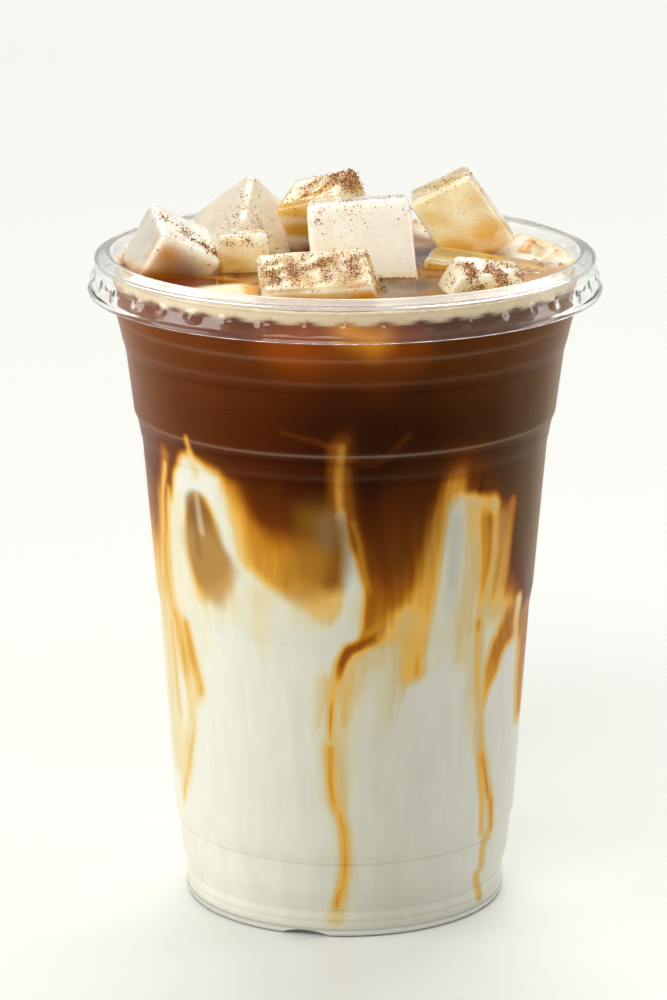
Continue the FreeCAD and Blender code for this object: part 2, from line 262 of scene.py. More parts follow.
# ---------------------------------------------------------------- painting
def stroke_distance(across, along, path):
    """Distance to a path of straight runs, and how far along the path it is met, 0 to 1."""
    path = np.array(path, float)
    runs = np.linalg.norm(np.diff(path, axis=0), axis=1)
    before = np.concatenate([[0], np.cumsum(runs)])
    nearest = np.full(across.shape, np.inf)
    met = np.zeros(across.shape)
    for index, length in enumerate(runs):
        step = (path[index + 1] - path[index]) / length
        reach = np.clip((across - path[index, 0]) * step[0] + (along - path[index, 1]) * step[1], 0, length)
        away = np.hypot(across - path[index, 0] - reach * step[0], along - path[index, 1] - reach * step[1])
        closer = away < nearest
        nearest = np.where(closer, away, nearest)
        met = np.where(closer, (before[index] + reach) / before[-1], met)
    return nearest, met


def stroke_cover(across, along, widths, edge, path):
    """How well a stroke covers each point: smooth_step((half width + edge - distance) / edge)."""
    away, met = stroke_distance(across, along, path)
    half_width = widths[0] + (widths[1] - widths[0]) * met
    return smooth_step((half_width + edge - away) / edge)


def paint(stain, across, along, strokes):
    """Lays soft strokes over a stain, in order.

    Each stroke is (colour, strength, half width at its start and end, soft edge, path).
    """
    for text, strength, *shape in strokes:
        lay(stain, text, strength * stroke_cover(across, along, *shape))
    return stain


# Colours round the wall, straight ahead at 0 degrees. Both carry painted light and shade: the coffee is paler
# at the sides and darkest just right of front, the milk darkest just right of front, as the lamps fall on the
# cup.
COFFEE_AND_SHADE_ROUND = [(-180, "#5C3519"), (-130, "#633A1D"), (-85, "#90602F"), (-70, "#774421"), (-50, "#5F2F10"),
                (-32, "#502107"), (-12, "#3C1502"), (8, "#2F1001"), (25, "#311502"), (45, "#42230B"),
                (65, "#60401F"), (85, "#8A6238"), (130, "#5E3816"), (180, "#5C3519")]
MILK_AND_SHADE_ROUND = [(-180, "#E6E2D8"), (-85, "#EAE6D6"), (-55, "#E9E8DE"), (-30, "#E1DFD2"), (-8, "#D8D5C7"),
              (15, "#CFCCC0"), (45, "#D2D0C6"), (85, "#DFDDD4"), (180, "#E6E2D8")]
# Where coffee gives way to milk: direction, height in mm, softness in mm.
MEETING_ROUND = [(-180, 78, 9), (-150, 66, 9), (-120, 74, 12), (-85, 70, 16), (-68, 66, 14), (-58, 63, 10),
                 (-44, 71, 7), (-28, 73, 8), (-18, 73, 8), (-9, 71, 7), (-2, 71, 5), (6, 67, 8), (14, 69, 12),
                 (22, 71, 11), (29, 85, 7), (34, 92, 4), (38, 80, 9), (44, 70, 11), (56, 64, 7), (64, 62, 5),
                 (69, 57, 5), (76, 43, 6), (84, 46, 7), (110, 68, 10), (145, 62, 9), (180, 78, 9)]
# Shades between pure milk (richness 0) and pure coffee (richness 1).
BLEND = [(0.1, "#FFF8E2"), (0.22, "#FCE0A8"), (0.34, "#E2AE52"),
         (0.46, "#C38222"), (0.6, "#955310"), (0.78, "#642F07")]
STILL_MILKY = 0.3  # shades below this richness are tints laid on the milk

# Plumes and threads on the wall: richness, strength, half widths, soft edge, path.
# Paths are (direction in degrees, height in mm).
WALL_FLOWS = [
    (0.6, 0.5, (0.15, 0.1), 0.9, [(-17, 106.5), (-12, 106.2), (-8, 105.2), (-5, 103.6), (-1, 103.4)]),
    (0.6, 0.45, (0.15, 0.1), 0.9, [(1, 101.2), (7, 100.9), (12, 102.3), (15, 104), (17, 105.6)]),
    (0.5, 0.4, (0.2, 0.3), 1.6, [(-4, 103), (-3.5, 96), (-4, 90), (-5, 85)]),
    # left plume
    (0.34, 0.7, (0.4, 1.0), 3.6, [(-60, 97), (-65, 88), (-69, 78), (-72, 68)]),
    (0.16, 0.6, (0.1, 0.2), 1.4, [(-61, 95), (-65, 87), (-68, 78), (-70, 70)]),
    (0.16, 0.5, (0.1, 0.2), 1.4, [(-60, 90), (-62, 82), (-65, 74), (-64, 66)]),
    (0.34, 0.6, (1.6, 2.4), 5.0, [(-62, 84), (-64, 74), (-60, 64)]),
    (0.06, 0.95, (0.8, 3.0), 4.6, [(-49, 96), (-52.5, 92), (-55.5, 85), (-57, 76), (-56, 67), (-52, 60)]),
    (0.0, 1.0, (1.3, 1.6), 5.0,
     [(-50, 92.5), (-45, 94), (-40, 92.5), (-36.5, 88.5), (-33, 82), (-29, 75), (-24, 68)]),
    (0.22, 0.8, (0.1, 0.0), 2.2, [(-46, 95), (-47.5, 98.5), (-47, 102)]),
    (0.03, 0.9, (1.0, 2.4), 4.0, [(-34, 80), (-29, 74), (-22, 69)]),
    (0.4, 0.8, (0.3, 1.2), 5.0, [(-33, 93), (-30.5, 87), (-26.5, 81), (-20, 78), (-13, 77)]),
    (0.46, 0.5, (1.2, 1.8), 6.0, [(-26, 81), (-18, 79), (-10, 77)]),
    (0.18, 0.6, (1.2, -3.0), 4.0, [(-25, 71), (-26, 64), (-25, 54)]),
    # middle thread and its foot
    (0.3, 0.7, (0.9, 0.4), 4.4, [(-12, 73), (-6, 70.5), (-1, 73)]),
    (0.5, 0.7, (0.3, 1.4), 3.8, [(-1, 104), (-0.5, 95), (0.8, 86), (3, 79), (5, 73)]),
    (0.32, 0.8, (0.1, 0.3), 1.5, [(-1, 103), (-1.3, 97), (-1.6, 91), (-1.2, 85)]),
    (0.08, 0.95, (0.1, 0.4), 1.7, [(-1.5, 90), (-1.0, 84), (0.6, 77.5)]),
    (0.0, 1.0, (0.4, 1.6), 3.0, [(0.6, 79), (2.4, 74.5), (2.8, 70), (0.6, 65.5), (-4, 62)]),
    (0.52, 0.6, (0.1, 0.25), 1.3, [(1.0, 99), (1.4, 90), (4, 81), (6.5, 74), (6.5, 67), (4, 63)]),
    (0.3, 0.5, (0.1, 0.1), 0.9, [(2.0, 88), (4.6, 80), (7.4, 73)]),
    (0.74, 0.6, (2.0, 1.6), 7.0, [(12, 86), (14, 76), (12, 69)]),
    # the long stream under it
    (0.22, 0.85, (2.0, 1.0), 3.8,
     [(13, 63), (7, 60.5), (2.5, 57.5), (-0.4, 52), (-2.4, 46), (-3.4, 38), (-3.4, 30)]),
    (0.56, 0.9, (1.1, -1.6), 2.4,
     [(13, 65.5), (7, 63.4), (2, 61.4), (-1.5, 57.8), (-3.8, 52), (-4.8, 45), (-4.9, 38)]),
    (0.68, 0.75, (0.5, -1.2), 1.4, [(8, 63.6), (1.4, 61), (-2.3, 56), (-4.3, 49.5), (-4.9, 42)]),
    (0.2, 0.9, (0.8, 1.0), 2.6,
     [(-4.6, 40), (-3.8, 33), (-2.0, 27), (0.3, 21), (0.8, 15), (-1.0, 9.5), (-3.0, 5)]),
    (0.42, 0.85, (0.3, 0.2), 1.5,
     [(-4.9, 40), (-4.8, 34), (-3.2, 28), (-0.6, 22.5), (0.4, 17), (-0.6, 11.5), (-2.8, 7)]),
    (0.36, 0.5, (0.1, 0.1), 1.1, [(6, 61.5), (2.2, 57), (0.3, 51.5), (-0.6, 46)]),
    (0.26, 0.75, (1.4, -3.4), 4.2, [(-4.6, 54), (-7.6, 48), (-11, 41)]),
    (0.1, 0.45, (0.6, -2.6), 3.0, [(1, 44), (3, 36), (6, 26)]),
    # right plume, its threads and the wedge beyond
    (0.4, 0.95, (0.5, 0.9), 4.6, [(31, 93.5), (28.5, 87), (26.5, 78), (24, 68), (20.5, 57)]),
    (0.06, 1.0, (0.8, 1.5), 3.0, [(34, 89), (32.4, 80), (31, 70), (29, 60)]),
    (0.16, 0.85, (0.2, 0.3), 3.0, [(33, 90.5), (38, 90.5), (46, 89)]),
    (0.22, 0.85, (1.0, 1.5), 3.4, [(39.5, 87), (39.5, 78), (37.5, 68), (39, 58)]),
    (0.46, 0.6, (0.3, 0.3), 1.8, [(43.5, 89), (44.5, 79), (45, 68), (44, 58)]),
    (0.2, 0.75, (0.4, 0.3), 1.9, [(47.5, 88), (48, 78), (47, 68), (46.5, 58)]),
    (0.48, 0.5, (0.3, 0.2), 1.8, [(51, 88), (50.5, 78), (49, 68)]),
    (0.3, 0.7, (0.5, 0.3), 3.0, [(55.5, 87), (54, 77), (51.5, 66)]),
    (0.22, 0.75, (2.0, -4.4), 5.0, [(17.5, 64), (15.5, 53), (10, 38)]),
    (0.34, 0.7, (0.8, -3.0), 3.2, [(20, 64), (18.5, 53), (14.5, 42)]),
    (0.14, 0.6, (1.4, -4.0), 4.6, [(11, 60), (11, 50), (8, 34)]),
    (0.54, 0.9, (1.8, 0.8), 3.6, [(66, 62), (60, 60.5), (55, 58), (52, 54)]),
    (0.44, 0.9, (0.7, 0.4), 2.2, [(52, 54), (48.5, 49), (46.8, 44), (47.5, 39.5)]),
    (0.24, 0.85, (1.4, 0.8), 2.8,
     [(43.5, 62), (44.5, 52), (46, 44), (49.4, 36), (53.6, 29), (57, 22.5), (58.4, 17)]),
    (0.48, 0.8, (0.3, 0.2), 1.4,
     [(44.5, 64), (45, 53), (45.8, 45), (48.8, 37), (53, 30), (57, 23.5), (58.8, 18)]),
    (0.36, 0.85, (0.2, 0.3), 1.8, [(46.5, 44), (48.6, 35), (50.6, 27), (52, 18.5)]),
    (0.12, 0.7, (0.8, 0.6), 4.0, [(41.5, 60), (42.5, 50), (46, 38)]),
    (0.32, 0.8, (0.4, 0.5), 2.2, [(55.5, 17), (55, 11.5)]),
    (0.36, 0.8, (0.4, 0.5), 2.0, [(53, 9), (55.5, 6), (56.6, 3)]),
    (0.08, 0.95, (0.3, 0.4), 2.4, [(66, 66), (66.8, 58), (68, 48), (70, 40)]),
    (0.5, 0.95, (2.6, 1.4), 5.6, [(75, 60), (76, 50), (78.5, 42.5)]),
    (0.3, 0.5, (0.3, 0.3), 2.0, [(69.5, 56), (71.5, 47), (74, 40)]),
    # glows and veils on the left
    (0.3, 0.85, (1.6, 1.0), 5.4, [(-64, 62), (-59, 55), (-54, 49.5)]),
    (0.42, 0.75, (0.4, 0.3), 2.0, [(-57.5, 62), (-55, 55), (-52, 49.5)]),
    (0.38, 0.6, (0.3, 0.2), 1.8, [(-64.5, 64), (-61.5, 57), (-58.5, 49), (-57.5, 41)]),
    (0.2, 0.8, (0.9, 0.6), 3.4, [(-56.5, 50), (-58, 42), (-62, 33), (-68, 24)]),
    (0.3, 0.7, (0.15, 0.15), 1.2, [(-58, 39), (-61, 32.5), (-65, 27.5), (-69, 22)]),
    (0.22, 0.7, (3.2, 2.4), 8.0, [(-76, 62), (-73, 46), (-71, 34)]),
    (0.3, 0.6, (0.3, 0.2), 2.0, [(-69, 60), (-67, 50), (-66, 42)]),
]

# Sunk ice seen through the drink, a painted glow of light under the rim and painted shade: colour, then as
# above.
WALL_TINTS = [
    # painted light: an amber glow under the rim, brightest in its core
    ("#9A480C", 0.62, (1.6, 2.2), 10, [(-12, 124), (9, 123)]),
    ("#D98C26", 0.9, (-0.8, -0.4), 6.0, [(1, 127), (6.5, 125.5)]),
    # painted shade: the coffee darkest in front, where least light falls
    ("#2A0E02", 0.5, (6, 5), 12, [(5, 112), (12, 100), (15, 88)]),
    ("#8F6736", 0.85, (2.0, 4.6), 2.4, [(-46.8, 88), (-45, 83), (-43.2, 78)]),
    ("#B58A4C", 0.8, (3.6, 3.8), 4.5, [(-45, 79.5), (-41, 75)]),
    ("#7F6034", 0.4, (0.1, 0.3), 1.4, [(-49, 88), (-47.5, 84), (-47, 78)]),
    ("#F6E6C4", 0.35, (0.1, 0.2), 1.2, [(-46, 90), (-45, 84)]),
    ("#8A5A16", 0.7, (2.2, 3.2), 5.5, [(-7, 88), (-7.5, 80)]),
    ("#A97424", 0.65, (2.0, 2.4), 5.0, [(-9, 79), (-13, 76)]),
    ("#8A7658", 0.4, (0.4, 0.8), 4.0, [(-5, 89), (-4.5, 85)]),
    ("#6A3A18", 0.5, (-0.6, 0.6), 3.6, [(-1.8, 88), (-1.8, 81), (-3.2, 76)]),
    ("#C6C2B6", 0.75, (0.5, 0.6), 3.0, [(34, 88), (33.5, 78), (32.5, 70)]),
    # painted shade down the pale streak
    ("#8E8A82", 0.22, (0.2, 0.15), 2.2, [(34, 87), (32.6, 74)]),
    ("#2E1A0C", 0.7, (0.15, 0.1), 0.6, [(41, 92.5), (42.2, 95.5)]),
    ("#C89A55", 0.5, (1.6, 1.4), 3.0, [(50, 84), (52, 72)]),
]

# Patches on the drink's surface; paths are (x, y) in mm.
TOP_STROKES = [
    ("#A9764A", 0.8, (6, 4), 8, [(-10, 34), (10, 36), (24, 30)]),
    ("#6B3A18", 0.8, (4, 4), 7, [(-30, 8), (-12, 4), (6, 8), (16, 10)]),
    ("#F3DEB8", 0.7, (1.2, 1.0), 2.5, [(-30, 30), (-14, 38), (4, 40), (20, 38)]),
    ("#BE8350", 0.9, (2.2, 1.8), 2.4, [(-40, 22), (-44, 10), (-44.5, 0), (-42, -11)]),
    ("#F6E7CC", 0.9, (0.7, 0.7), 1.4, [(-41, 18), (-41.5, 5), (-40.5, -7)]),
    ("#DE9322", 0.95, (6.5, 6.0), 3.5, [(-37, -8), (-33, -14), (-27, -17)]),
    ("#7E2F04", 1.0, (4.2, 4.6), 3.4, [(-36, -12), (-32, -16), (-27, -17)]),
    ("#FCF2CC", 1.0, (3.0, 3.6), 4.0, [(-30, -27), (-23, -23), (-20, -29)]),
    ("#EDAA36", 0.9, (0.8, 1.0), 1.6, [(-18.5, -21), (-17, -31)]),
    ("#8F6A4C", 0.9, (5.0, 5.0), 4.0, [(13, -20), (14, -33)]),
    ("#5E3314", 0.9, (2.0, 2.0), 2.4, [(8, -17), (13, -20), (16, -16)]),
    ("#D9A468", 0.8, (2.6, 2.2), 3.0, [(36, -16), (41, -6), (44, 4)]),
    ("#FCF2DC", 1.0, (8.0, 7.0), 5.0, [(26, 34), (38, 24), (42, 9)]),
    ("#EFD394", 0.85, (0.5, 0.5), 1.2, [(28, 30), (36, 31), (41, 25), (43.5, 14), (40, 6)]),
    ("#E6BC68", 0.7, (0.4, 0.4), 1.0, [(33, 27), (38, 28), (41, 20), (39, 10)]),
    ("#E2961C", 1.0, (1.0, 0.7), 1.3, [(38.5, 26), (38, 20), (36.5, 13)]),
    # painted highlight on the amber spot
    ("#FFE9A6", 0.8, (0.2, 0.2), 0.6, [(37.6, 22), (36.9, 15)]),
]


def round_table(table, degrees, column):
    """One column of a table of directions, read between its rows."""
    return np.interp(degrees, [row[0] for row in table], [row[column] for row in table])


def colours_between(values, marks, texts):
    """Linear colours at some values, read between the marks where the given colours stand."""
    known = np.array([colour(text) for text in texts])
    return np.stack([np.interp(values, marks, known[:, part]) for part in range(3)], -1)


def back_flows(seed):
    """Flows of the far side: fifteen streams that wander as they sink, and five arches of milk."""
    chance = np.random.default_rng(seed)
    flows = []
    for direction in np.linspace(96, 264, 15):
        turn = (direction + chance.uniform(-6, 6) + 180) % 360 - 180
        heights = np.linspace(chance.uniform(66, 78), chance.uniform(12, 50), 7)
        drift = turn + np.cumsum(chance.uniform(-2.4, 2.4, 7))
        width = chance.uniform(0.4, 1.6)
        richness = chance.uniform(0.2, 0.5)
        strength = chance.uniform(0.6, 0.95)
        flows.append((richness, strength, (width * 1.6, width * 0.4), 2.6, list(zip(drift, heights))))
    for direction in (-150, -112, 108, 138, 166):
        top = chance.uniform(86, 96)
        bends = [(-7, 64), (-8, top - 10), (-2, top), (6, top - 9), (8, 66)]
        path = [(direction + aside, level) for aside, level in bends]
        flows.append((0.03, 0.95, (0.6, 1.2), 4.0, path))
    return flows


def flow_over(richness, across, along, flows):
    """Draws flows over a richness, in order: each pulls it towards its own where it covers."""
    for target, strength, *shape in flows:
        richness += (target - richness) * strength * stroke_cover(across, along, *shape)
    return richness


def blended(richness, milk, coffee):
    """Colour of a blend: milk, the shades between, coffee; mixed on square roots, as the eye does."""
    plain = np.ones_like(milk)
    shades = [colour(text) * (milk if mark < STILL_MILKY else plain) for mark, text in BLEND]
    stops = [milk] + shades + [coffee]
    marks = [0.0] + [mark for mark, _ in BLEND] + [1.0]
    stain = np.sqrt(stops[0])
    for index in range(1, len(marks)):
        share = np.clip((richness - marks[index - 1]) / (marks[index] - marks[index - 1]), 0, 1)
        stain = stain + (np.sqrt(stops[index]) - np.sqrt(stops[index - 1])) * share[:, None]
    return stain**2


def on_the_wall(strokes):
    """Strokes with their directions turned into millimetres of wall."""
    return [(*stroke[:4], [(turn * MM_PER_DEGREE, level) for turn, level in stroke[4]]) for stroke in strokes]


def wall_stain(degrees, height_mm, crease, settings):
    """Colour of the drink against the wall, from its direction and height.

    Richness grows from milk to coffee with the height above the meeting line over its
    softness; flows pull it to and fro; a wandering of the coordinates bends every edge,
    and fine upright filaments show where the two are half mixed. Tints with a painted glow
    and painted shade, a painted highlight on the outer bends of the wall with painted shade
    in its hollows, and a scalloped edge of foam at the top are laid over it. The milk and
    coffee colours round the wall carry painted light and shade.
    """
    arc = np.radians(degrees) * WALL_RADIUS_MM
    flow = settings.flow_mm
    low = height_mm * 0.6  # heights drawn together, so that waves stand upright
    drift = flow * ripple(3, 9, 15, arc, low) + 0.16 * flow * ripple(4, 9, 6, arc, low)
    sink = 1.3 * flow * ripple(5, 9, 13, arc, height_mm) + 0.25 * flow * ripple(6, 9, 5, arc, low)
    seam = smooth_step((180 - np.abs(degrees)) / 12)
    turned_by = degrees + seam * drift * 0.9
    level = height_mm + seam * sink
    depth = (level - round_table(MEETING_ROUND, turned_by, 1)) / round_table(MEETING_ROUND, turned_by, 2)
    richness = np.interp(depth, [-1.2, -0.4, 0.2, 0.9, 1.8, 3.0], [0.0, 0.12, 0.32, 0.56, 0.8, 1.0])
    richness = flow_over(richness, turned_by * MM_PER_DEGREE, level, on_the_wall(WALL_FLOWS + back_flows(21)))
    filament = ripple(8, 16, 2.0, arc + 1.5 * drift, height_mm * 0.09)
    filament = filament + 0.5 * ripple(9, 16, 1.1, arc + drift, height_mm * 0.05)
    half_mixed = 4 * np.clip(richness, 0, 1) * (1 - np.clip(richness, 0, 1))
    richness = np.clip(richness + 0.035 * seam * filament * half_mixed, 0, 1)
    # milk and coffee by direction, with their painted light and shade
    milk = colours_between(degrees, *zip(*MILK_AND_SHADE_ROUND))
    coffee = colours_between(degrees, *zip(*COFFEE_AND_SHADE_ROUND))
    stain = blended(richness, milk, coffee)
    warm = smooth_step((height_mm - 104) / 18) * 0.12 * smooth_step(richness * 1.2 - 0.2)
    lay(stain, "#A2561C", warm)
    stain = paint(stain, turned_by * MM_PER_DEGREE, level, on_the_wall(WALL_TINTS))
    # Painted highlight along the wall's outer bends and painted shade in its hollows, where the thick plastic
    # catches light and keeps it off.
    lay(stain, "#F2D2AC", np.clip(crease * 0.13, 0, 0.13))
    hollow = np.clip(-crease, 0, 1) * (0.3 + 0.7 * richness)
    stain *= 1 - hollow[:, None] * np.array([0.34, 0.4, 0.5])
    scallop = 0.7 * np.abs(np.sin(np.radians(degrees) * 20))
    froth = smooth_step((height_mm - FOAM_BOTTOM / MM - 0.2 + scallop) / 0.8)
    lay(stain, "#D9C6A4", froth * 0.95)
    return np.clip(stain, DARKEST, 1.0)


def top_stain(across_mm, along_mm, ice_gap_mm, settings):
    """Colour of the drink's surface: coffee marbled paler, then foam by the wall, the painted
    patches, an amber ring round each block, exp(-(distance / 1.1 mm)^2), and a pale rim.
    """
    flow = settings.flow_mm
    axes = (across_mm, along_mm)
    across = across_mm + flow * ripple(11, 9, 13, *axes) + 0.3 * flow * ripple(12, 9, 4, *axes)
    along = along_mm + flow * ripple(13, 9, 13, *axes) + 0.3 * flow * ripple(14, 9, 4, *axes)
    stain = np.broadcast_to(colour(SURFACE_COFFEE), (len(across), 3)).copy()
    marble = smooth_step(0.5 + 0.9 * ripple(15, 14, 16, across, along * 1.5))
    lay(stain, "#C0905A", marble * 0.62)
    near_wall = MOUTH / MM - np.hypot(across_mm, along_mm)
    foam_width = 3.6 + 1.2 * ripple(16, 8, 22, across_mm, along_mm)
    foam = smooth_step((foam_width + 1.6 - near_wall) / 3.0)
    lay(stain, "#F6E5C3", foam)
    stain = paint(stain, across, along, TOP_STROKES)
    ring = np.exp(-(ice_gap_mm / 1.1) ** 2) * 0.55
    lay(stain, "#9A5A1E", ring)
    edge = smooth_step((1.3 - near_wall) / 1.2) * 0.9
    lay(stain, "#F3E0BB", edge)
    return np.clip(stain, DARKEST, 1.0)


# ---------------------------------------------------------------- materials
def add_node(tree, kind, inputs=None, out=0, **settings):
    """Adds a shader node, sets it up, links or fills its inputs, and hands back one of its outputs."""
    added = tree.nodes.new("ShaderNode" + kind)
    for name, value in settings.items():
        setattr(added, name, value)
    for name, value in (inputs or {}).items():
        if isinstance(value, bpy.types.NodeSocket):
            tree.links.new(value, added.inputs[name])
        else:
            added.inputs[name].default_value = value
    return added.outputs[out]


def noise(tree, place, scale, detail, **more):
    """Smooth noise with a lump about every 1 / scale metres."""
    return add_node(tree, "TexNoise", {"Vector": place, "Scale": scale, "Detail": detail, **more})


def calculate(tree, operation, first, second):
    """The result of one operation on two numbers or sockets."""
    return add_node(tree, "Math", {0: first, 1: second}, operation=operation)


def ranged(tree, value, low, high):
    """A share from 0 to 1 turned into a number from low to high."""
    return add_node(tree, "MapRange", {"Value": value, "To Min": low, "To Max": high})


def stored(tree, name, out="Fac"):
    """A number or colour kept at each vertex."""
    return add_node(tree, "Attribute", out=out, attribute_name=name)


def new_material(name):
    """An empty node material and its tree."""
    material = bpy.data.materials.new(name)
    material.use_nodes = True
    material.node_tree.nodes.clear()
    return material, material.node_tree


def show_surface(material, shader):
    """Sends a shader to the material's output and hands the material back."""
    output = material.node_tree.nodes.new("ShaderNodeOutputMaterial")
    material.node_tree.links.new(shader, output.inputs["Surface"])
    return material


def milk_and_coffee():
    """Milk and coffee, stirred by pouring: an opaque liquid with no shine of its own behind the wall."""
    material, tree = new_material("milk_and_coffee_poured")
    place = add_node(tree, "TexCoord", out="Object")
    stain = stored(tree, "stain", "Color")
    # Threads of milk 3 mm apart, drawn out upright by the pour.
    drawn = add_node(tree, "Mapping", {"Vector": place, "Scale": (330, 330, 70)})
    thread = noise(tree, drawn, 1.0, 4.0, Distortion=0.6)
    lift = ranged(tree, thread, 0.9, 1.1)
    tint = add_node(tree, "VectorMath", {0: stain, 1: lift}, operation="MULTIPLY")
    shader = add_node(tree, "BsdfPrincipled", {
        "Base Color": tint, "Roughness": 0.5, "IOR": 1.34, "Specular IOR Level": 0.0,
    })
    return show_surface(material, shader)


def drink_surface():
    """The drink's open surface: wet and glossy coffee, satin where milk froth lies on it."""
    material, tree = new_material("coffee_surface_with_milk_froth")
    place = add_node(tree, "TexCoord", out="Object")
    stain = stored(tree, "stain", "Color")
    # Froth bubbles about 0.5 mm across, strongest in the pale froth.
    froth = add_node(tree, "TexVoronoi", {"Vector": place, "Scale": 1900.0})
    swell = noise(tree, place, 240.0, 3.0)
    paleness = add_node(tree, "RGBToBW", {"Color": stain})
    cells = calculate(tree, "MULTIPLY", froth, paleness)
    relief = calculate(tree, "ADD", swell, cells)
    bump = add_node(tree, "Bump", {"Height": relief, "Strength": 0.25, "Distance": 0.0004})
    rough = ranged(tree, paleness, 0.06, 0.3)
    shader = add_node(tree, "BsdfPrincipled", {
        "Base Color": stain, "Roughness": rough, "IOR": 1.34,
        "Subsurface Weight": 0.15, "Subsurface Scale": 0.0015, "Normal": bump,
    })
    return show_surface(material, shader)


def cloudy_ice():
    """Cloudy ice steeped in milk and coffee: part clear, part frosted, wet and glossy outside.

    A faint glow stands for the light that wanders inside a lit block and comes out of its dim sides.
    """
    material, tree = new_material("cloudy_ice_steeped")
    place = add_node(tree, "TexCoord", out="Object")
    stain = stored(tree, "stain", "Color")
    dust = stored(tree, "dust")
    clear = stored(tree, "clear")
    # Frost veins about 3 mm apart under a fine grain of 0.6 mm.
    vein = noise(tree, place, 320.0, 5.0, Distortion=1.2)
    grain = noise(tree, place, 1700.0, 2.0)
    cloud = ranged(tree, vein, 0.92, 1.08)
    misted = add_node(tree, "VectorMath", {0: stain, 1: cloud}, operation="MULTIPLY")
    # Cocoa too fine to be a grain of its own: specks of 0.3 mm, denser where the dust lies.
    speck = noise(tree, place, 3300.0, 2.0, Roughness=0.6)
    level = calculate(tree, "MULTIPLY", dust, 0.17)
    lifted = calculate(tree, "ADD", speck, level)
    cover = add_node(tree, "MapRange", {"Value": lifted, "From Min": 0.655, "From Max": 0.72})
    dusted = add_node(tree, "MixRGB", {"Fac": cover, "Color1": misted, "Color2": with_alpha("#9A5214")})
    relief = calculate(tree, "ADD", vein, grain)
    bump = add_node(tree, "Bump", {"Height": relief, "Strength": 0.2, "Distance": 0.0003})
    # Clear ice is smooth, frosted ice is rough.
    rough = ranged(tree, clear, 0.42, 0.1)
    see = calculate(tree, "MULTIPLY", clear, 0.85)
    dull = calculate(tree, "SUBTRACT", 1.0, cover)
    through = calculate(tree, "MULTIPLY", see, dull)
    bare = add_node(tree, "MapRange", {"Value": dust, "From Max": 0.6, "To Min": 1.0, "To Max": 0.1})
    shader = add_node(tree, "BsdfPrincipled", {
        "Base Color": dusted, "Roughness": rough, "IOR": 1.31,
        "Transmission Weight": through,
        "Subsurface Weight": 0.4, "Subsurface Radius": (1.0, 0.95, 0.86), "Subsurface Scale": 0.0014,
        "Emission Color": dusted, "Emission Strength": 0.17,
        "Coat Weight": bare, "Coat Roughness": 0.04, "Normal": bump,
    })
    return show_surface(material, shader)


def cocoa_powder():
    """Cocoa dusted through a sieve: dull grains, from dark brown to orange brown."""
    material, tree = new_material("cocoa_powder_sieved")
    place = add_node(tree, "TexCoord", out="Object")
    # Darker and lighter lots of grains, about 1 mm across.
    lump = noise(tree, place, 900.0, 1.0)
    tint = add_node(tree, "MixRGB", {
        "Fac": lump, "Color1": with_alpha("#743C00"), "Color2": with_alpha("#C47E10"),
    })
    shader = add_node(tree, "BsdfPrincipled", {
        "Base Color": tint, "Roughness": 0.85, "Specular IOR Level": 0.1,
    })
    return show_surface(material, shader)


def clear_cup_plastic(roughness):
    """Clear PET drawn into a mould: see-through, its shine growing as it turns from the eye."""
    material, tree = new_material("clear_pet_thermoformed")
    place = add_node(tree, "TexCoord", out="Object")
    haze = stored(tree, "haze")
    # Forming waves about 14 mm long.
    wave = noise(tree, place, 70.0, 1.0)
    bump = add_node(tree, "Bump", {"Height": wave, "Strength": 0.25, "Distance": 0.0006})
    gloss = add_node(tree, "BsdfGlossy", {"Color": (1, 1, 1, 1), "Roughness": roughness, "Normal": bump})
    clear = add_node(tree, "BsdfTransparent", {"Color": (0.99, 0.99, 0.985, 1)})
    turned_away = add_node(tree, "LayerWeight", out="Facing", inputs={"Blend": 0.5, "Normal": bump})
    steep = calculate(tree, "POWER", turned_away, 4.5)
    mirror = ranged(tree, steep, 0.003, 0.42)
    wall = add_node(tree, "MixShader", {0: mirror, 1: clear, 2: gloss})
    # The foot is thick and takes on the milk's own white.
    foot = add_node(tree, "BsdfPrincipled", {"Base Color": with_alpha("#E4E2D8"), "Roughness": 0.3})
    whole = add_node(tree, "MixShader", {0: haze, 1: wall, 2: foot})
    return show_surface(material, whole)


def clear_collar_plastic(roughness):
    """Clear PET moulded thick at the collar: it bends light, so its edges read grey and white."""
    material, tree = new_material("clear_pet_moulded_collar")
    glass = add_node(tree, "BsdfGlass", {"Color": (1, 1, 1, 1), "Roughness": roughness, "IOR": 1.43})
    clear = add_node(tree, "BsdfTransparent", {"Color": (0.97, 0.97, 0.965, 1)})
    path = add_node(tree, "LightPath", out="Is Shadow Ray")
    ring = add_node(tree, "MixShader", {0: path, 1: glass, 2: clear})
    # The sloping band is given a soft white finish: painted sheen standing in for the light the thick plastic
    # bends and reflects there, so it reads white.
    haze = stored(tree, "haze")
    painted_band_sheen = add_node(tree, "BsdfPrincipled", {"Base Color": with_alpha("#DCDAD4"), "Roughness": 0.15})
    whole = add_node(tree, "MixShader", {0: haze, 1: ring, 2: painted_band_sheen})
    return show_surface(material, whole)


def froth_film():
    """The skin of a bubble: almost nothing but its highlight."""
    material, tree = new_material("froth_bubble_film")
    gloss = add_node(tree, "BsdfGlossy", {"Color": (1, 1, 1, 1), "Roughness": 0.04})
    clear = add_node(tree, "BsdfTransparent", {"Color": (0.96, 0.9, 0.8, 1)})
    mirror = add_node(tree, "Fresnel", {"IOR": 1.6})
    film = add_node(tree, "MixShader", {0: mirror, 1: clear, 2: gloss})
    return show_surface(material, film)


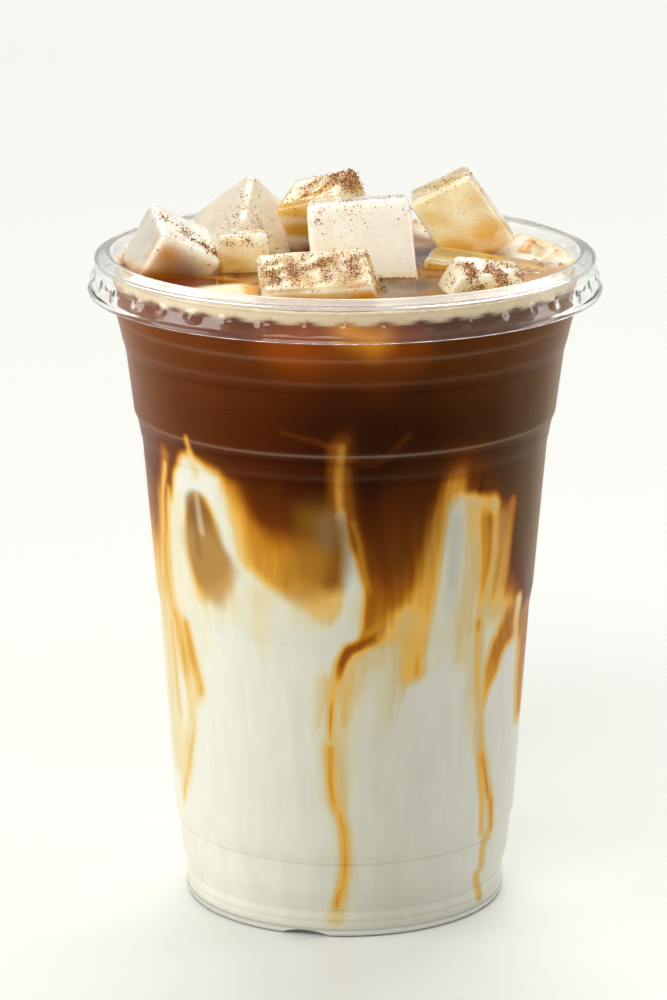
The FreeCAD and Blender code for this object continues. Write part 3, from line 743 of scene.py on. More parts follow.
def pale_board(tint):
    """A pale lacquered board to stand on, with a very soft shine."""
    material, tree = new_material("pale_lacquered_board")
    place = add_node(tree, "TexCoord", out="Object")
    # Lacquer a little uneven over about 330 mm.
    cloud = noise(tree, place, 3.0, 1.0)
    rough = ranged(tree, cloud, 0.28, 0.36)
    shader = add_node(tree, "BsdfPrincipled", {"Base Color": (*tint, 1), "Roughness": rough})
    return show_surface(material, shader)


def give(piece, material, slot, *nodes):
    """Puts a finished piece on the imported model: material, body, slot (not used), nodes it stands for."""
    piece.data.materials.clear()
    piece.data.materials.append(material)
    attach(piece, "root")
    if nodes:
        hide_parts(*nodes)
    return piece


# ---------------------------------------------------------------- cup and collar
def notch_lift(turn, radius, settings):
    """Height of the air-notch arches under the foot: h * sqrt(1 - (s / half width)^2)."""
    lift = np.zeros(np.broadcast(turn, radius).shape)
    for index in range(NOTCHES):
        centre = math.radians(settings.notch_turn + 360 / NOTCHES * index)
        away = (turn - centre + np.pi) % (2 * np.pi) - np.pi
        share = np.clip(1 - (away * radius / (settings.notch_width / 2)) ** 2, 0, 1)
        lift = np.maximum(lift, settings.notch_height * np.sqrt(share))
    return lift


def profile(tree, low, high, turn, inside, count):
    """Levels and radii of the wall, closest together where the wall bends.

    The radius is read every 0.1 mm and softened over three readings; levels are then spread
    evenly over height + 0.9 mm for each tenth of slope gained or lost.
    """
    fine = np.linspace(low, high, int((high - low) / (0.1 * MM)) + 1)
    radii = rounded(read_radius(tree, fine, turn, inside), 3)
    bend = np.abs(np.gradient(np.gradient(radii, fine)))
    load = np.concatenate([[0], np.cumsum(np.diff(fine) + 9 * MM * (bend[1:] + bend[:-1]) / 2)])
    levels = np.interp(np.linspace(0, load[-1], count), load, fine)
    return levels, np.interp(levels, fine, radii)


def creases(levels, radii):
    """How sharply the wall bends at each level: above 0 where it stands out, below 0 in a hollow.

    It is minus the second slope of the radius times 1.8 mm, held between -1 and 1.
    """
    return np.clip(-np.gradient(np.gradient(radii, levels), levels) * 1.8 * MM, -1, 1)


def make_cup(settings):
    """The cup's skin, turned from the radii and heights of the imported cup."""
    tree = node_tree_of("cup")
    off_axis = 0.01 * MM  # keeps a ray clear of the axis
    foot_rows = 40  # wall rows that the air notches may lift
    under_radii = np.linspace(0.0, CUP_BASE - 0.4 * MM, 34)
    under = read_height(tree, under_radii + off_axis, CLEAR_TURN, -0.01, True)
    levels, outside = profile(tree, 0.25 * MM, CUP_HIGH.z - 0.05 * MM, CLEAR_TURN, False, 240)
    top_radii = np.linspace(CUP_HIGH.x - 0.6 * MM, MOUTH + 0.2 * MM, 9)
    top = read_height(tree, top_radii, CLEAR_TURN, 0.2, False)
    inner_levels = np.arange(CUP_HIGH.z - 0.6 * MM, 2.3 * MM, -2.4 * MM)
    inside = read_radius(tree, inner_levels, CLEAR_TURN, True)
    floor_radii = np.linspace(inside[-1] - 0.4 * MM, 0.0, 12)
    floor = read_height(tree, floor_radii + off_axis, CLEAR_TURN, 0.05, False)
    radius = np.concatenate([under_radii, outside, top_radii, inside, floor_radii])
    height = np.concatenate([under, levels, top, inner_levels, floor])
    turn = front_weighted_turns(settings.columns)
    radius = spread(radius, turn)
    height = spread(height, turn)
    low_rows = (np.arange(len(height)) < len(under) + foot_rows)[:, None]
    foot = (height < 3 * MM) & low_rows & (radius > CUP_BASE * 0.8)
    lift = notch_lift(turn[None, :], radius, settings)
    height = np.where(foot, np.maximum(height, lift), height)
    piece = turned("cup_wall", radius[1:-1], height[1:-1], turn)
    low_down = smooth_step((2.0 * MM - vertex_places(piece.data)[:, 2]) / (0.5 * MM))
    add_share(piece.data, "haze", settings.foot_haze * low_down)
    return give(piece, clear_cup_plastic(settings.roughness), "clear_cup", "cup")


def make_collar(settings):
    """The collar's ring: a closed section turned once, with round lugs pressed out of the skirt.

    A lug stands out by lug_stand * exp(-(across / half width)^2 - (up / half height)^2). The
    lower edge is beaded outwards by edge_bead * exp(-((rise - 0.55 mm) / 0.45 mm)^2), with
    the rise counted from that edge.
    """
    tree = node_tree_of("collar")
    low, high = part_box("collar")
    between_lugs = math.radians(4.5)
    levels = np.linspace(low.z + 0.03 * MM, high.z - 0.03 * MM, 80)
    outside = rounded(read_radius(tree, levels, between_lugs, False), 3)
    inner_levels = np.linspace(high.z - 0.08 * MM, low.z + 0.05 * MM, 54)
    inside = rounded(read_radius(tree, inner_levels, between_lugs, True), 3)
    radius = np.concatenate([outside, inside])
    height = np.concatenate([levels, inner_levels])
    turn = np.arange(COLLAR_STEPS) * 2 * np.pi / COLLAR_STEPS
    lug_height = low.z + settings.lug_rise
    lug_turn = 2 * np.pi / settings.lug_count
    away = (turn + lug_turn / 2) % lug_turn - lug_turn / 2
    reach = (away[None, :] * CUP_HIGH.x / settings.lug_half_width) ** 2
    reach = reach + ((height[:, None] - lug_height) / settings.lug_half_height) ** 2
    swell = settings.lug_stand * np.exp(-reach)
    edge = settings.edge_bead * np.exp(-(((height - low.z) / MM - 0.55) / 0.45) ** 2)
    edge[len(levels):] *= -0.3
    grid = spread(radius + edge, turn) + swell
    piece = turned("collar_ring", grid, spread(height, turn), turn, closed_section=True)
    # painted sheen: the sloping band is whitened
    on_band = smooth_step((vertex_places(piece.data)[:, 2] - high.z + 2.4 * MM) / (0.6 * MM))
    add_share(piece.data, "haze", settings.band_sheen * on_band)
    return give(piece, clear_collar_plastic(settings.roughness), "clear_collar", "collar")


# ---------------------------------------------------------------- drink
def ice_waterline():
    """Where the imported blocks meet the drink's surface: x and y in mm, up to 90 for each block."""
    found = []
    for name in ICE_NODES:
        tree = node_tree_of(name)
        low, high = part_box(name)
        centre = (low + high) / 2
        for turn in np.linspace(0, 2 * np.pi, 90, endpoint=False):
            outward = Vector((math.cos(turn), math.sin(turn), 0))
            start = Vector((centre.x, centre.y, LEVEL)) + outward * 0.05
            hit = tree.ray_cast(start, -outward)[0]
            if hit is not None:
                found.append((hit.x / MM, hit.y / MM))
    return np.array(found)


def drink_part(name, section, wall_rows, settings):
    """A turned piece of the drink: section is (radii, heights), stained by direction and height."""
    radius, height = section
    turn = front_weighted_turns(settings.columns)
    degrees = np.repeat(np.degrees(turn)[None, :], len(radius), 0).ravel()
    grid = spread(height, turn)
    crease = np.zeros(len(radius))
    crease[wall_rows] = creases(height[wall_rows], radius[wall_rows])
    stain = wall_stain(degrees, grid.ravel() / MM, spread(crease, turn).ravel(), settings)
    return turned(name, spread(radius, turn), grid, turn, stain)


def make_drink(settings):
    """Milk below and coffee above, their skin reaching just into the cup's wall."""
    tree = node_tree_of("cup")
    floor_radii = np.linspace(0.3 * MM, CUP_BASE - 1.4 * MM, 14)
    floor = read_height(tree, floor_radii, CLEAR_TURN, 0.05, False) - 0.2 * MM
    near = 0.02 * MM  # a last ring this close keeps the shading straight up to a cap
    split = settings.split_mm * MM
    levels, outer = profile(tree, 1.6 * MM, split - near, CLEAR_TURN, False, settings.rows)
    inner = np.interp(levels, *profile(tree, 2.1 * MM, split - near, CLEAR_TURN, True, settings.rows))
    # At the foot, where the wall takes on the milk's white, the skin lies nearly at its outside.
    at_foot = smooth_step((7 * MM - levels) / (4 * MM))
    wall = inner + 0.2 * MM + (outer - 0.1 * MM - inner - 0.2 * MM) * at_foot
    radius = np.concatenate([floor_radii, wall, [wall[-1]], [0.3 * MM]])
    height = np.concatenate([floor, levels, [split], [split]])
    rows = slice(len(floor_radii), len(floor_radii) + len(wall))
    lower = drink_part("poured_milk", (radius, height), rows, settings)
    give(lower, milk_and_coffee(), "milk", "milk")
    levels, wall = profile(tree, split + near, LEVEL, CLEAR_TURN, True, settings.rows)
    wall = wall + 0.2 * MM
    inward = np.linspace(wall[-1] - 0.5 * MM, 0.3 * MM, 4)
    radius = np.concatenate([[0.3 * MM], [wall[0]], wall, inward])
    height = np.concatenate([[split], [split], levels, np.full(len(inward), LEVEL - 0.9 * MM)])
    upper = drink_part("poured_coffee", (radius, height), slice(2, 2 + len(wall)), settings)
    give(upper, bpy.data.materials["milk_and_coffee_poured"], "coffee", "coffee")


def make_drink_surface(settings):
    """The open surface and its froth: a disc that creeps up the wall and up each block of ice.

    It creeps by creep_mm * (exp(-wall distance / 0.9 mm) + exp(-ice distance / 0.7 mm)).
    """
    rings = 118
    turn = front_weighted_turns(settings.columns)
    share = np.linspace(0.004, 1.0, rings)
    radius = spread(share * (MOUTH + 0.15 * MM), turn)
    across = (radius * np.sin(turn) / MM).ravel()
    along = (-radius * np.cos(turn) / MM).ravel()
    gap = np.full(across.shape, np.inf)
    for block in np.array_split(ice_waterline(), 24):
        away = np.hypot(across[:, None] - block[None, :, 0], along[:, None] - block[None, :, 1])
        gap = np.minimum(gap, away.min(1))
    near_wall = MOUTH / MM - np.hypot(across, along)
    creep = settings.creep_mm * (np.exp(-np.maximum(near_wall, 0) / 0.9) + np.exp(-gap / 0.7))
    swell = 0.12 * ripple(31, 10, 9, across, along)
    froth = 0.25 * smooth_step((4.5 - near_wall) / 2.5) * (1 + 0.5 * ripple(32, 10, 3, across, along))
    top = (LEVEL + (creep + swell + froth - 0.25) * MM).reshape(radius.shape)
    stain = top_stain(across, along, gap, settings)
    # A shallow underside closes the disc, so that it is a solid layer.
    back = radius[::-1][::24]
    under = np.full(back.shape, LEVEL - 0.8 * MM)
    radius = np.concatenate([radius, back])
    height = np.concatenate([top, under])
    stain = np.concatenate([stain, np.broadcast_to(colour(SURFACE_COFFEE), (back.size, 3))])
    piece = turned("drink_surface", radius, height, turn, stain)
    return give(piece, drink_surface(), "foam", "foam")


# ---------------------------------------------------------------- ice
# Each block: clearness, colours from the waterline up, and how high the drink soaks in, mm;
# then tints (way a face looks, colour, strength), marks and cocoa. Marks and cocoa are soft
# balls: place (x, y and height above the surface, mm) and radius in mm, then colour and
# strength for a mark and strength alone for cocoa.
ICE_LOOKS = {
    "ice_left": (
        0.3, ("#A45A14", "#F6E0B2", "#FFF9EC"), 4.5,
        [((-0.9, -0.3, 0.2), "#CBC5BC", 0.9)],
        [((-35, -12, 4.6), 2.8, "#E08E1C", 0.95), ((-34.5, -12, 2.0), 3.6, "#B86208", 0.95),
         ((-31, -13, 0.2), 4.2, "#6E2C04", 1.0), ((-27, -12, 4.4), 2.6, "#FBF1D6", 0.7)],
        [((-37, -4, 12.5), 2.4, 1.0), ((-34, -4, 12.5), 2.6, 1.2), ((-31, -5, 11.5), 2.8, 1.5),
         ((-28, -6, 9.5), 2.8, 1.7), ((-26, -7, 6.5), 3.0, 1.6), ((-25, -8, 3.5), 2.4, 1.1),
         ((-31, -9, 8), 3.5, 0.5)],
    ),
    "ice_back_left": (
        0.26, ("#EBCB94", "#F0DFC6", "#EFE0CC"), 6,
        [((-0.7, -0.6, 0.3), "#DCCDBC", 0.85)],
        [((-14, 8, 3), 3.5, "#F6E2B6", 0.7)],
        [((-27, 12, 11), 4.0, 0.5), ((-15, 9, 8), 4.0, 0.5), ((-20, 10, 5), 4.0, 0.4),
         ((-25, 9, 15), 3.0, 0.5), ((-21, 16, 13), 4.0, 0.3)],
    ),
    "ice_small": (
        0.5, ("#DC962C", "#F8DA98", "#FCF1DA"), 5,
        [],
        [((-22, -8, 2), 3.0, "#EDAC3C", 0.7), ((-16, -9, 4), 2.0, "#FFF6E0", 0.7)],
        [((-22, -8, 7.5), 2.4, 1.3), ((-18, -8, 7.8), 2.2, 1.0), ((-15, -7, 7.5), 2.2, 1.0)],
    ),
    "ice_middle_back": (
        0.6, ("#5E2706", "#CE8010", "#F0C272"), 9,
        [((0.8, -0.5, 0.3), "#FCEBC8", 0.9)],
        [((-12, 11, 8), 4.5, "#EAAE4C", 0.85), ((-8, 8, 3), 5.5, "#743A08", 0.95),
         ((-12, 8, 12.5), 3.0, "#F8DFA8", 0.7), ((-8, 13, 15), 4.0, "#BE721C", 0.9),
         ((-2, 15, 16), 5.0, "#A25A14", 0.95), ((4, 14, 14.5), 4.0, "#B4701E", 0.8)],
        [((-9, 13, 14.5), 3.6, 1.2), ((-4, 14, 16), 4.2, 1.6), ((1, 15, 16), 4.0, 1.7),
         ((5, 13, 13.5), 3.0, 1.0)],
    ),
    "ice_tall": (
        0.15, ("#F2DCAE", "#FFF5E2", "#FFF6E8"), 4,
        [],
        [((-3, -11, 1), 5.0, "#F6E0B2", 0.6), ((9, -9, 3), 3.0, "#FFF0D2", 0.4)],
        [((-5, -11, 12), 3.5, 0.5), ((2, -11, 14.5), 4.5, 0.35), ((10, -9, 14), 3.0, 0.3)],
    ),
    "ice_front": (
        0.36, ("#E09008", "#E0A444", "#D8BC92"), 3.6,
        [((0.9, -0.3, 0.1), "#C88210", 0.9), ((0, 0, 1), "#CCAE86", 0.7)],
        [((-15, -31, 0), 3.0, "#E49E28", 0.8), ((-4, -34, 2.2), 3.0, "#FBE7B4", 0.8),
         ((3, -33, 0), 3.6, "#DC8A0C", 0.9), ((-8, -34, 0), 3.6, "#E09214", 0.8)],
        [((-14, -29, 6), 3.0, 1.7), ((-10, -28, 7), 4.0, 1.6), ((-4, -27, 7.5), 4.0, 1.4),
         ((2, -26, 7), 4.0, 1.4), ((-12, -32, 4.6), 2.6, 1.2), ((-5, -32, 5), 3.0, 1.1),
         ((2, -31, 5), 3.0, 1.0)],
    ),
    "ice_back_right": (
        0.5, ("#E08C00", "#F5DCA0", "#F3DEB2"), 5,
        [((0.2, 0.1, 0.95), "#D4AE76", 0.9), ((0.9, 0.1, 0.1), "#CC9850", 0.8)],
        [((29, 6, 3), 5.0, "#E49000", 1.0), ((22, 5, 1), 4.6, "#E89A08", 0.95),
         ((16, 7, 10), 4.0, "#EACB92", 0.7), ((23, 7, 9), 3.2, "#FFF4DC", 0.8)],
        [((20, 12, 14.5), 5.0, 0.4)],
    ),
    "ice_slab": (
        0.75, ("#DE9C28", "#EABC54", "#F2D890"), 3,
        [],
        [((36, -3, 0), 4.0, "#E2AC4C", 0.6)],
        [((20, -6, 2), 3.0, 0.3)],
    ),
    "ice_front_right": (
        0.35, ("#DEBB78", "#E6CEA2", "#E8D9BC"), 3.4,
        [((-0.8, -0.4, 0.4), "#F0E4D0", 0.8), ((0, 0, 1), "#D8C09C", 0.6)],
        [((19, -27, 0.5), 3.0, "#F2E2BE", 0.8)],
        [((22, -25, 4.8), 3.0, 0.9), ((26, -25, 4.4), 3.6, 1.5), ((31, -24, 3), 3.6, 1.7),
         ((30, -27.5, 0.5), 3.0, 1.2), ((25, -27, 2), 2.8, 0.9)],
    ),
}


def soft_ball(points_mm, place, radius):
    """exp(-(distance / radius)^2) from a place given over the drink's surface."""
    centre = np.array([place[0], place[1], place[2] + LEVEL / MM])
    return np.exp(-((points_mm - centre) ** 2).sum(1) / radius**2)


def make_ice_block(name, settings):
    """One block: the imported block's skin remeshed fine, its edges melted round, its faces uneven."""
    shaped = bmesh.new()
    shaped.from_mesh(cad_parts[name].data)
    bmesh.ops.remove_doubles(shaped, verts=shaped.verts, dist=1e-6)
    rough = bpy.data.meshes.new(name + "_rough")
    shaped.to_mesh(rough)
    facets = main_facets(rough)
    shaped.free()
    holder = placed(name + "_rough", rough)
    remesh = holder.modifiers.new("fine", "REMESH")
    remesh.mode = "VOXEL"
    remesh.voxel_size = settings.grain_mm * MM
    melt = holder.modifiers.new("melt", "SMOOTH")
    melt.factor = 0.5
    melt.iterations = settings.melting
    mesh = bpy.data.meshes.new_from_object(holder.evaluated_get(bpy.context.evaluated_depsgraph_get()))
    bpy.data.objects.remove(holder)
    bpy.data.meshes.remove(rough)
    mesh.name = name + "_block"
    count = len(mesh.vertices)
    normals = np.empty(count * 3, np.float32)
    mesh.vertex_normals.foreach_get("vector", normals)
    points = vertex_places(mesh).astype(float)
    normals = normals.reshape(-1, 3).astype(float)
    seed = 100 + 7 * ICE_NODES.index(name)
    axes = tuple((points / MM).T)
    wave = settings.uneven_mm
    uneven = wave * ripple(seed, 12, 8, *axes) + 0.3 * wave * ripple(seed + 1, 12, 2.4, *axes)
    points += normals * (uneven * MM)[:, None]
    mesh.vertices.foreach_set("co", points.astype(np.float32).ravel())
    mesh.update()
    mesh.polygons.foreach_set("use_smooth", np.ones(len(mesh.polygons), bool))
    stain, dust, clear = ice_stain(name, points / MM, normals, facets, seed)
    add_colour(mesh, "stain", stain)
    add_share(mesh, "dust", dust)
    add_share(mesh, "clear", clear)
    piece = placed(name + "_block", mesh)
    return give(piece, settings_material("cloudy_ice_steeped", cloudy_ice), "ice", name)


def settings_material(name, maker):
    """The material of that name, made the first time it is asked for."""
    return bpy.data.materials.get(name) or maker()


def main_facets(mesh):
    """The six directions in which most of a block's skin looks."""
    directions = np.array([face.normal[:] for face in mesh.polygons])
    areas = np.array([face.area for face in mesh.polygons])
    groups, members = np.unique(np.round(directions, 1), axis=0, return_inverse=True)
    totals = np.bincount(members.ravel(), weights=areas, minlength=len(groups))
    facets = groups[np.argsort(totals)[-6:]]
    return facets / np.linalg.norm(facets, axis=1)[:, None]


def ice_stain(name, points_mm, normals, facets, seed):
    """Colour, cocoa and clearness of a block: soaked tones low down, face tints, marks, painted highlights
    along the edges.
    """
    clearness, soaked, soak, tints, marks, cocoa = ICE_LOOKS[name]
    axes = tuple(points_mm.T)
    height = points_mm[:, 2] - LEVEL / MM + 0.9 * ripple(seed + 2, 8, 6, *axes)
    share = np.clip(height / soak, 0, 1)
    stain = colours_between(share, (0, 0.5, 1), soaked)
    frost = np.zeros(len(points_mm))
    for direction, text, strength in tints:
        facing = normals @ (np.array(direction) / np.linalg.norm(direction))
        cover = strength * smooth_step((facing - 0.6) / 0.2) * smooth_step(share * 1.4)
        frost = np.maximum(frost, 0.3 * cover)
        lay(stain, text, cover)
    for place, radius, text, strength in marks:
        cover = strength * soft_ball(points_mm, place, radius)
        lay(stain, text, cover)
    # Glassy ice holds pools of coffee gold between drifts of milk.
    drift = smooth_step(0.5 + 1.1 * ripple(seed + 6, 10, 6, 0.7 * axes[0], 0.7 * axes[1], 1.5 * axes[2]))
    glassy = np.clip(1.4 * clearness - 0.25, 0, 0.6) * smooth_step(share * 2.5)
    lay(stain, "#E2A82C", glassy * (1 - drift) * 0.6)
    lay(stain, "#FFF6DC", glassy * drift * 0.75)
    # Painted highlight: between two faces the ice is thin, and its edges are laid white as if they caught
    # light.
    edge = smooth_step((1 - (normals @ facets.T).max(1)) / 0.24)
    broken = np.clip(0.6 + 0.7 * ripple(seed + 5, 12, 6, *axes), 0, 1)
    lay(stain, "#FFFCF4", 0.6 * edge * broken * smooth_step(share * 1.5))
    patchy = np.clip(0.75 + 0.8 * ripple(seed + 3, 12, 3.5, *axes), 0, 1.6)
    dust = np.zeros(len(points_mm))
    for place, radius, strength in cocoa:
        dust = dust + strength * soft_ball(points_mm, place, radius)
    cloudy = 0.75 + 0.5 * ripple(seed + 4, 12, 7, *axes)
    clear = np.clip(clearness * cloudy - frost * clearness, 0.04, 0.9) * (1 - 0.8 * np.clip(dust, 0, 1))
    # Weak coffee in ice looks golden, not orange.
    stain[:, 1] += GOLD_LIFT * (stain[:, 0] - stain[:, 2])
    return np.clip(stain, DARKEST, 1) ** ICE_DEPTH, np.clip(dust * patchy, 0, 1.4), clear


# ---------------------------------------------------------------- cocoa and bubbles
def copies(name, points, shape_faces):
    """One mesh of many shapes: points is (copy, vertex, xyz) and the faces are those of one shape."""
    faces = shape_faces[None] + (np.arange(len(points)) * points.shape[1])[:, None, None]
    return mesh_object(name, points.reshape(-1, 3), np.zeros((0, 4), int), faces.reshape(-1, 3))


def scattered(name, centres, sizes, shape_points, shape_faces, seed):
    """One mesh of many small copies of a shape, each turned at random and set at its centre."""
    chance = np.random.default_rng(seed)
    count = len(centres)
    spin = chance.normal(size=(count, 4))
    spin /= np.linalg.norm(spin, axis=1)[:, None]
    w, x, y, z = spin.T
    turn = np.stack([
        1 - 2 * (y * y + z * z), 2 * (x * y - z * w), 2 * (x * z + y * w),
        2 * (x * y + z * w), 1 - 2 * (x * x + z * z), 2 * (y * z - x * w),
        2 * (x * z - y * w), 2 * (y * z + x * w), 1 - 2 * (x * x + y * y),
    ], -1).reshape(-1, 3, 3)
    stretched = shape_points[None] * sizes[:, None, :]
    return copies(name, np.einsum("nij,nkj->nki", turn, stretched) + centres[:, None, :], shape_faces)


OCTAHEDRON = np.array([[1, 0, 0], [-1, 0, 0], [0, 1, 0], [0, -1, 0], [0, 0, 1], [0, 0, -1]], float)
OCTAHEDRON_FACES = np.array([
    [0, 2, 4], [2, 1, 4], [1, 3, 4], [3, 0, 4], [2, 0, 5], [1, 2, 5], [3, 1, 5], [0, 3, 5],
])


def make_cocoa(settings):
    """Grains of cocoa on the blocks where they stand clear of the drink, thickest where the dust fell."""
    chance = np.random.default_rng(settings.seed)
    centres = []
    for name in ICE_NODES:
        mesh = bpy.data.objects[name + "_block"].data
        points = vertex_places(mesh)
        dust = np.empty(len(points), np.float32)
        mesh.attributes["dust"].data.foreach_get("value", dust)
        above = points[:, 2] > LEVEL + 0.4 * MM
        weight = np.where(above, dust, 0).astype(float) ** 1.2
        count = int(min(settings.per_strength * weight.sum(), settings.most))
        if count:
            chosen = chance.choice(len(points), count, p=weight / weight.sum())
            centres.append(points[chosen] + chance.normal(scale=0.2 * MM, size=(count, 3)))
    centres = np.concatenate(centres)
    sizes = settings.grain_mm * MM * chance.uniform(0.35, 1.0, (len(centres), 1)) ** 2
    sizes = sizes * chance.uniform(0.7, 1.2, (len(centres), 3))
    piece = scattered("cocoa_grains", centres, sizes, OCTAHEDRON, OCTAHEDRON_FACES, settings.seed)
    return give(piece, cocoa_powder(), "foam")


def make_bubbles(settings):
    """Small domes of froth on the surface, gathered at the ice and along the wall."""
    chance = np.random.default_rng(settings.seed)
    line = ice_waterline()
    by_ice = line[chance.integers(0, len(line), settings.count)]
    by_ice = by_ice + chance.normal(scale=0.9, size=by_ice.shape)
    turn = chance.uniform(0, 2 * np.pi, settings.count)
    radius = MOUTH / MM - chance.uniform(0.6, 3.5, settings.count)
    by_wall = np.stack([radius * np.cos(turn), radius * np.sin(turn)], -1)
    places = np.concatenate([by_ice, by_wall])
    places = places[np.hypot(places[:, 0], places[:, 1]) < MOUTH / MM - 0.6]
    size = chance.uniform(0.25, 1.0, len(places)) ** 2 * settings.largest_mm
    rings = 5
    sides = 12
    rise = np.linspace(0, np.pi / 2, rings + 1)[1:, None]
    around = np.linspace(0, 2 * np.pi, sides, endpoint=False)[None, :]
    out = np.sin(rise)
    dome = np.stack([out * np.cos(around), out * np.sin(around), np.cos(rise) + 0 * around], -1)
    dome = np.concatenate([dome.reshape(-1, 3), [[0, 0, 1]], [[0, 0, -0.1]]])
    quads = grid_quads(rings, sides)
    ring = np.arange(sides)
    after = (ring + 1) % sides
    tip = rings * sides
    last = tip - sides
    cap = np.stack([np.full(sides, tip), after, ring], -1)
    base = np.stack([np.full(sides, tip + 1), last + ring, last + after], -1)
    triangles = np.concatenate([quads[:, [0, 1, 2]], quads[:, [0, 2, 3]], cap[:, ::-1], base[:, ::-1]])
    centres = np.concatenate([places, np.full((len(places), 1), LEVEL / MM + 0.05)], 1) * MM
    points = dome[None] * (size * MM)[:, None, None] + centres[:, None, :]
    return give(copies("froth_bubbles", points, triangles), froth_film(), "foam")


# ---------------------------------------------------------------- stage
def make_stage(settings):
    """Pale board, soft lights and the camera."""
    half = 4.0
    corners = np.array([[-half, -half, 0], [half, -half, 0], [half, half, 0], [-half, half, 0]])
    board = mesh_object("pale_board", corners, np.array([[0, 1, 2, 3]]))
    board.data.materials.append(pale_board(settings.board_colour))
    world = bpy.data.worlds.new("soft_room")
    world.use_nodes = True
    world.node_tree.nodes["Background"].inputs["Color"].default_value = (*settings.room_colour, 1)
    world.node_tree.nodes["Background"].inputs["Strength"].default_value = settings.room_strength
    bpy.context.scene.world = world
    aim = Vector((0, 0, 0.07))
    lights = [
        ("left_panel", (-1.5, -0.3, 0.5), (0.9, 0.8), settings.key_power),
        ("back_panel", (0.3, 2.6, 2.6), (3.2, 1.8), settings.back_power),
        ("front_panel", (-1.0, -2.6, 2.8), (2.2, 1.4), settings.front_power),
        ("right_panel", (0.95, 0.15, 0.4), (0.3, 0.7), settings.side_power),
    ]
    for name, place, extent, power in lights:
        lamp = bpy.data.lights.new(name, "AREA")
        lamp.shape = "RECTANGLE"
        lamp.size, lamp.size_y = extent
        lamp.energy = power
        lamp.color = settings.light_colour
        shown = placed(name, lamp)
        shown.location = place
        shown.rotation_euler = (aim - Vector(place)).to_track_quat("-Z", "Y").to_euler()
    camera = bpy.data.cameras.new("camera")
    camera.sensor_fit = "VERTICAL"
    camera.sensor_height = 24.0
    camera.lens = settings.lens_mm
    camera.clip_start = 0.05
    shown = placed("camera", camera)
    shown.location = (settings.camera_aside, -settings.camera_away, settings.camera_height)
    shown.rotation_euler = (math.pi / 2 - settings.camera_dip, 0, 0)
    bpy.context.scene.camera = shown
    bpy.context.scene.view_settings.view_transform = "Standard"


# ---------------------------------------------------------------- settings
def amount(name, description, default, **limits):
    """A number that a user may change."""
    return bpy.props.FloatProperty(name=name, description=description, default=default, **limits)


def length_mm(name, description, default):
    """A size in millimetres that a user may change."""
    return amount(name, description, default, min=0.0, precision=3)


def length_m(name, description, millimetres):
    """A size given in millimetres and kept in metres."""
    return amount(name, description, millimetres * MM, unit="LENGTH")


def whole_number(name, description, default, least=0):
    """A whole number that a user may change."""
    return bpy.props.IntProperty(name=name, description=description, default=default, min=least)


def picked_colour(name, description, text):
    """A colour that a user may change."""
    start = tuple(colour(text))
    return bpy.props.FloatVectorProperty(name=name, description=description, subtype="COLOR", default=start)


class LatteCupSettings(bpy.types.PropertyGroup):
    """Sizes and finish of the cup's wall."""
    columns: whole_number("Columns", "Faces once round the wall", 260, 64)
    roughness: amount("Roughness", "Haze of the plastic's shine", 0.06, min=0, max=1)
    foot_haze: amount("Foot haze", "How white the thick foot looks", 0.88, min=0, max=1)
    notch_width: length_m("Notch width", "Width of an air notch", 9.3)
    notch_height: length_m("Notch height", "Height of an air notch", 1.3)
    notch_turn: amount("Notch turn", "First air notch, degrees from ahead", -14.4)


class LatteCollarSettings(bpy.types.PropertyGroup):
    """Sizes and finish of the push-fit collar."""
    roughness: amount("Roughness", "Haze of the plastic", 0.03, min=0, max=1)
    # whiteness of the sloping band, a painted sheen
    band_sheen: amount("Band haze", "How white the sloping band looks", 0.14, min=0, max=1)
    edge_bead: length_m("Edge bead", "How far the lower edge is beaded", 0.3)
    lug_count: whole_number("Lugs", "Lugs once round the skirt", 40, 3)
    lug_rise: length_m("Lug rise", "Lug above the lower edge", 2.9)
    lug_stand: length_m("Lug stand", "How far a lug stands out", 0.6)
    lug_half_width: length_m("Lug width", "Half a lug's width", 1.5)
    lug_half_height: length_m("Lug height", "Half a lug's height", 1.1)


class LatteDrinkSettings(bpy.types.PropertyGroup):
    """How the milk and coffee run into each other."""
    columns: whole_number("Columns", "Faces once round the drink", 600, 64)
    rows: whole_number("Rows", "Faces up the milk, and as many up the coffee", 148, 32)
    split_mm: length_mm("Split", "Height at which the milk's piece ends and the coffee's begins, mm", 62.0)
    flow_mm: length_mm("Flow", "How far the edges of the milk wander, mm", 0.9)
    creep_mm: length_mm("Creep", "How far the surface creeps up the ice and wall, mm", 0.5)


class LatteIceSettings(bpy.types.PropertyGroup):
    """How worn the blocks of ice are."""
    grain_mm: length_mm("Grain", "Size of the fine mesh on a block, mm", 0.5)
    uneven_mm: length_mm("Uneven", "Height of the waves in a block's faces, mm", 0.14)
    melting: whole_number("Melting", "Rounds of softening of the edges", 2, 0)


class LatteCocoaSettings(bpy.types.PropertyGroup):
    """The cocoa dust."""
    grain_mm: length_mm("Grain", "Half the size of a large grain, mm", 0.22)
    per_strength: amount("Density", "Grains for each unit of cover", 1.9)
    most: whole_number("Most", "Most grains on one block", 6000)
    seed: whole_number("Seed", "Which scatter of grains", 5)


class LatteFrothSettings(bpy.types.PropertyGroup):
    """The bubbles."""
    count: whole_number("Count", "Bubbles by the ice, and as many by the wall", 120)
    largest_mm: length_mm("Largest", "Radius of the largest bubble, mm", 0.8)
    seed: whole_number("Seed", "Which scatter of bubbles", 9)


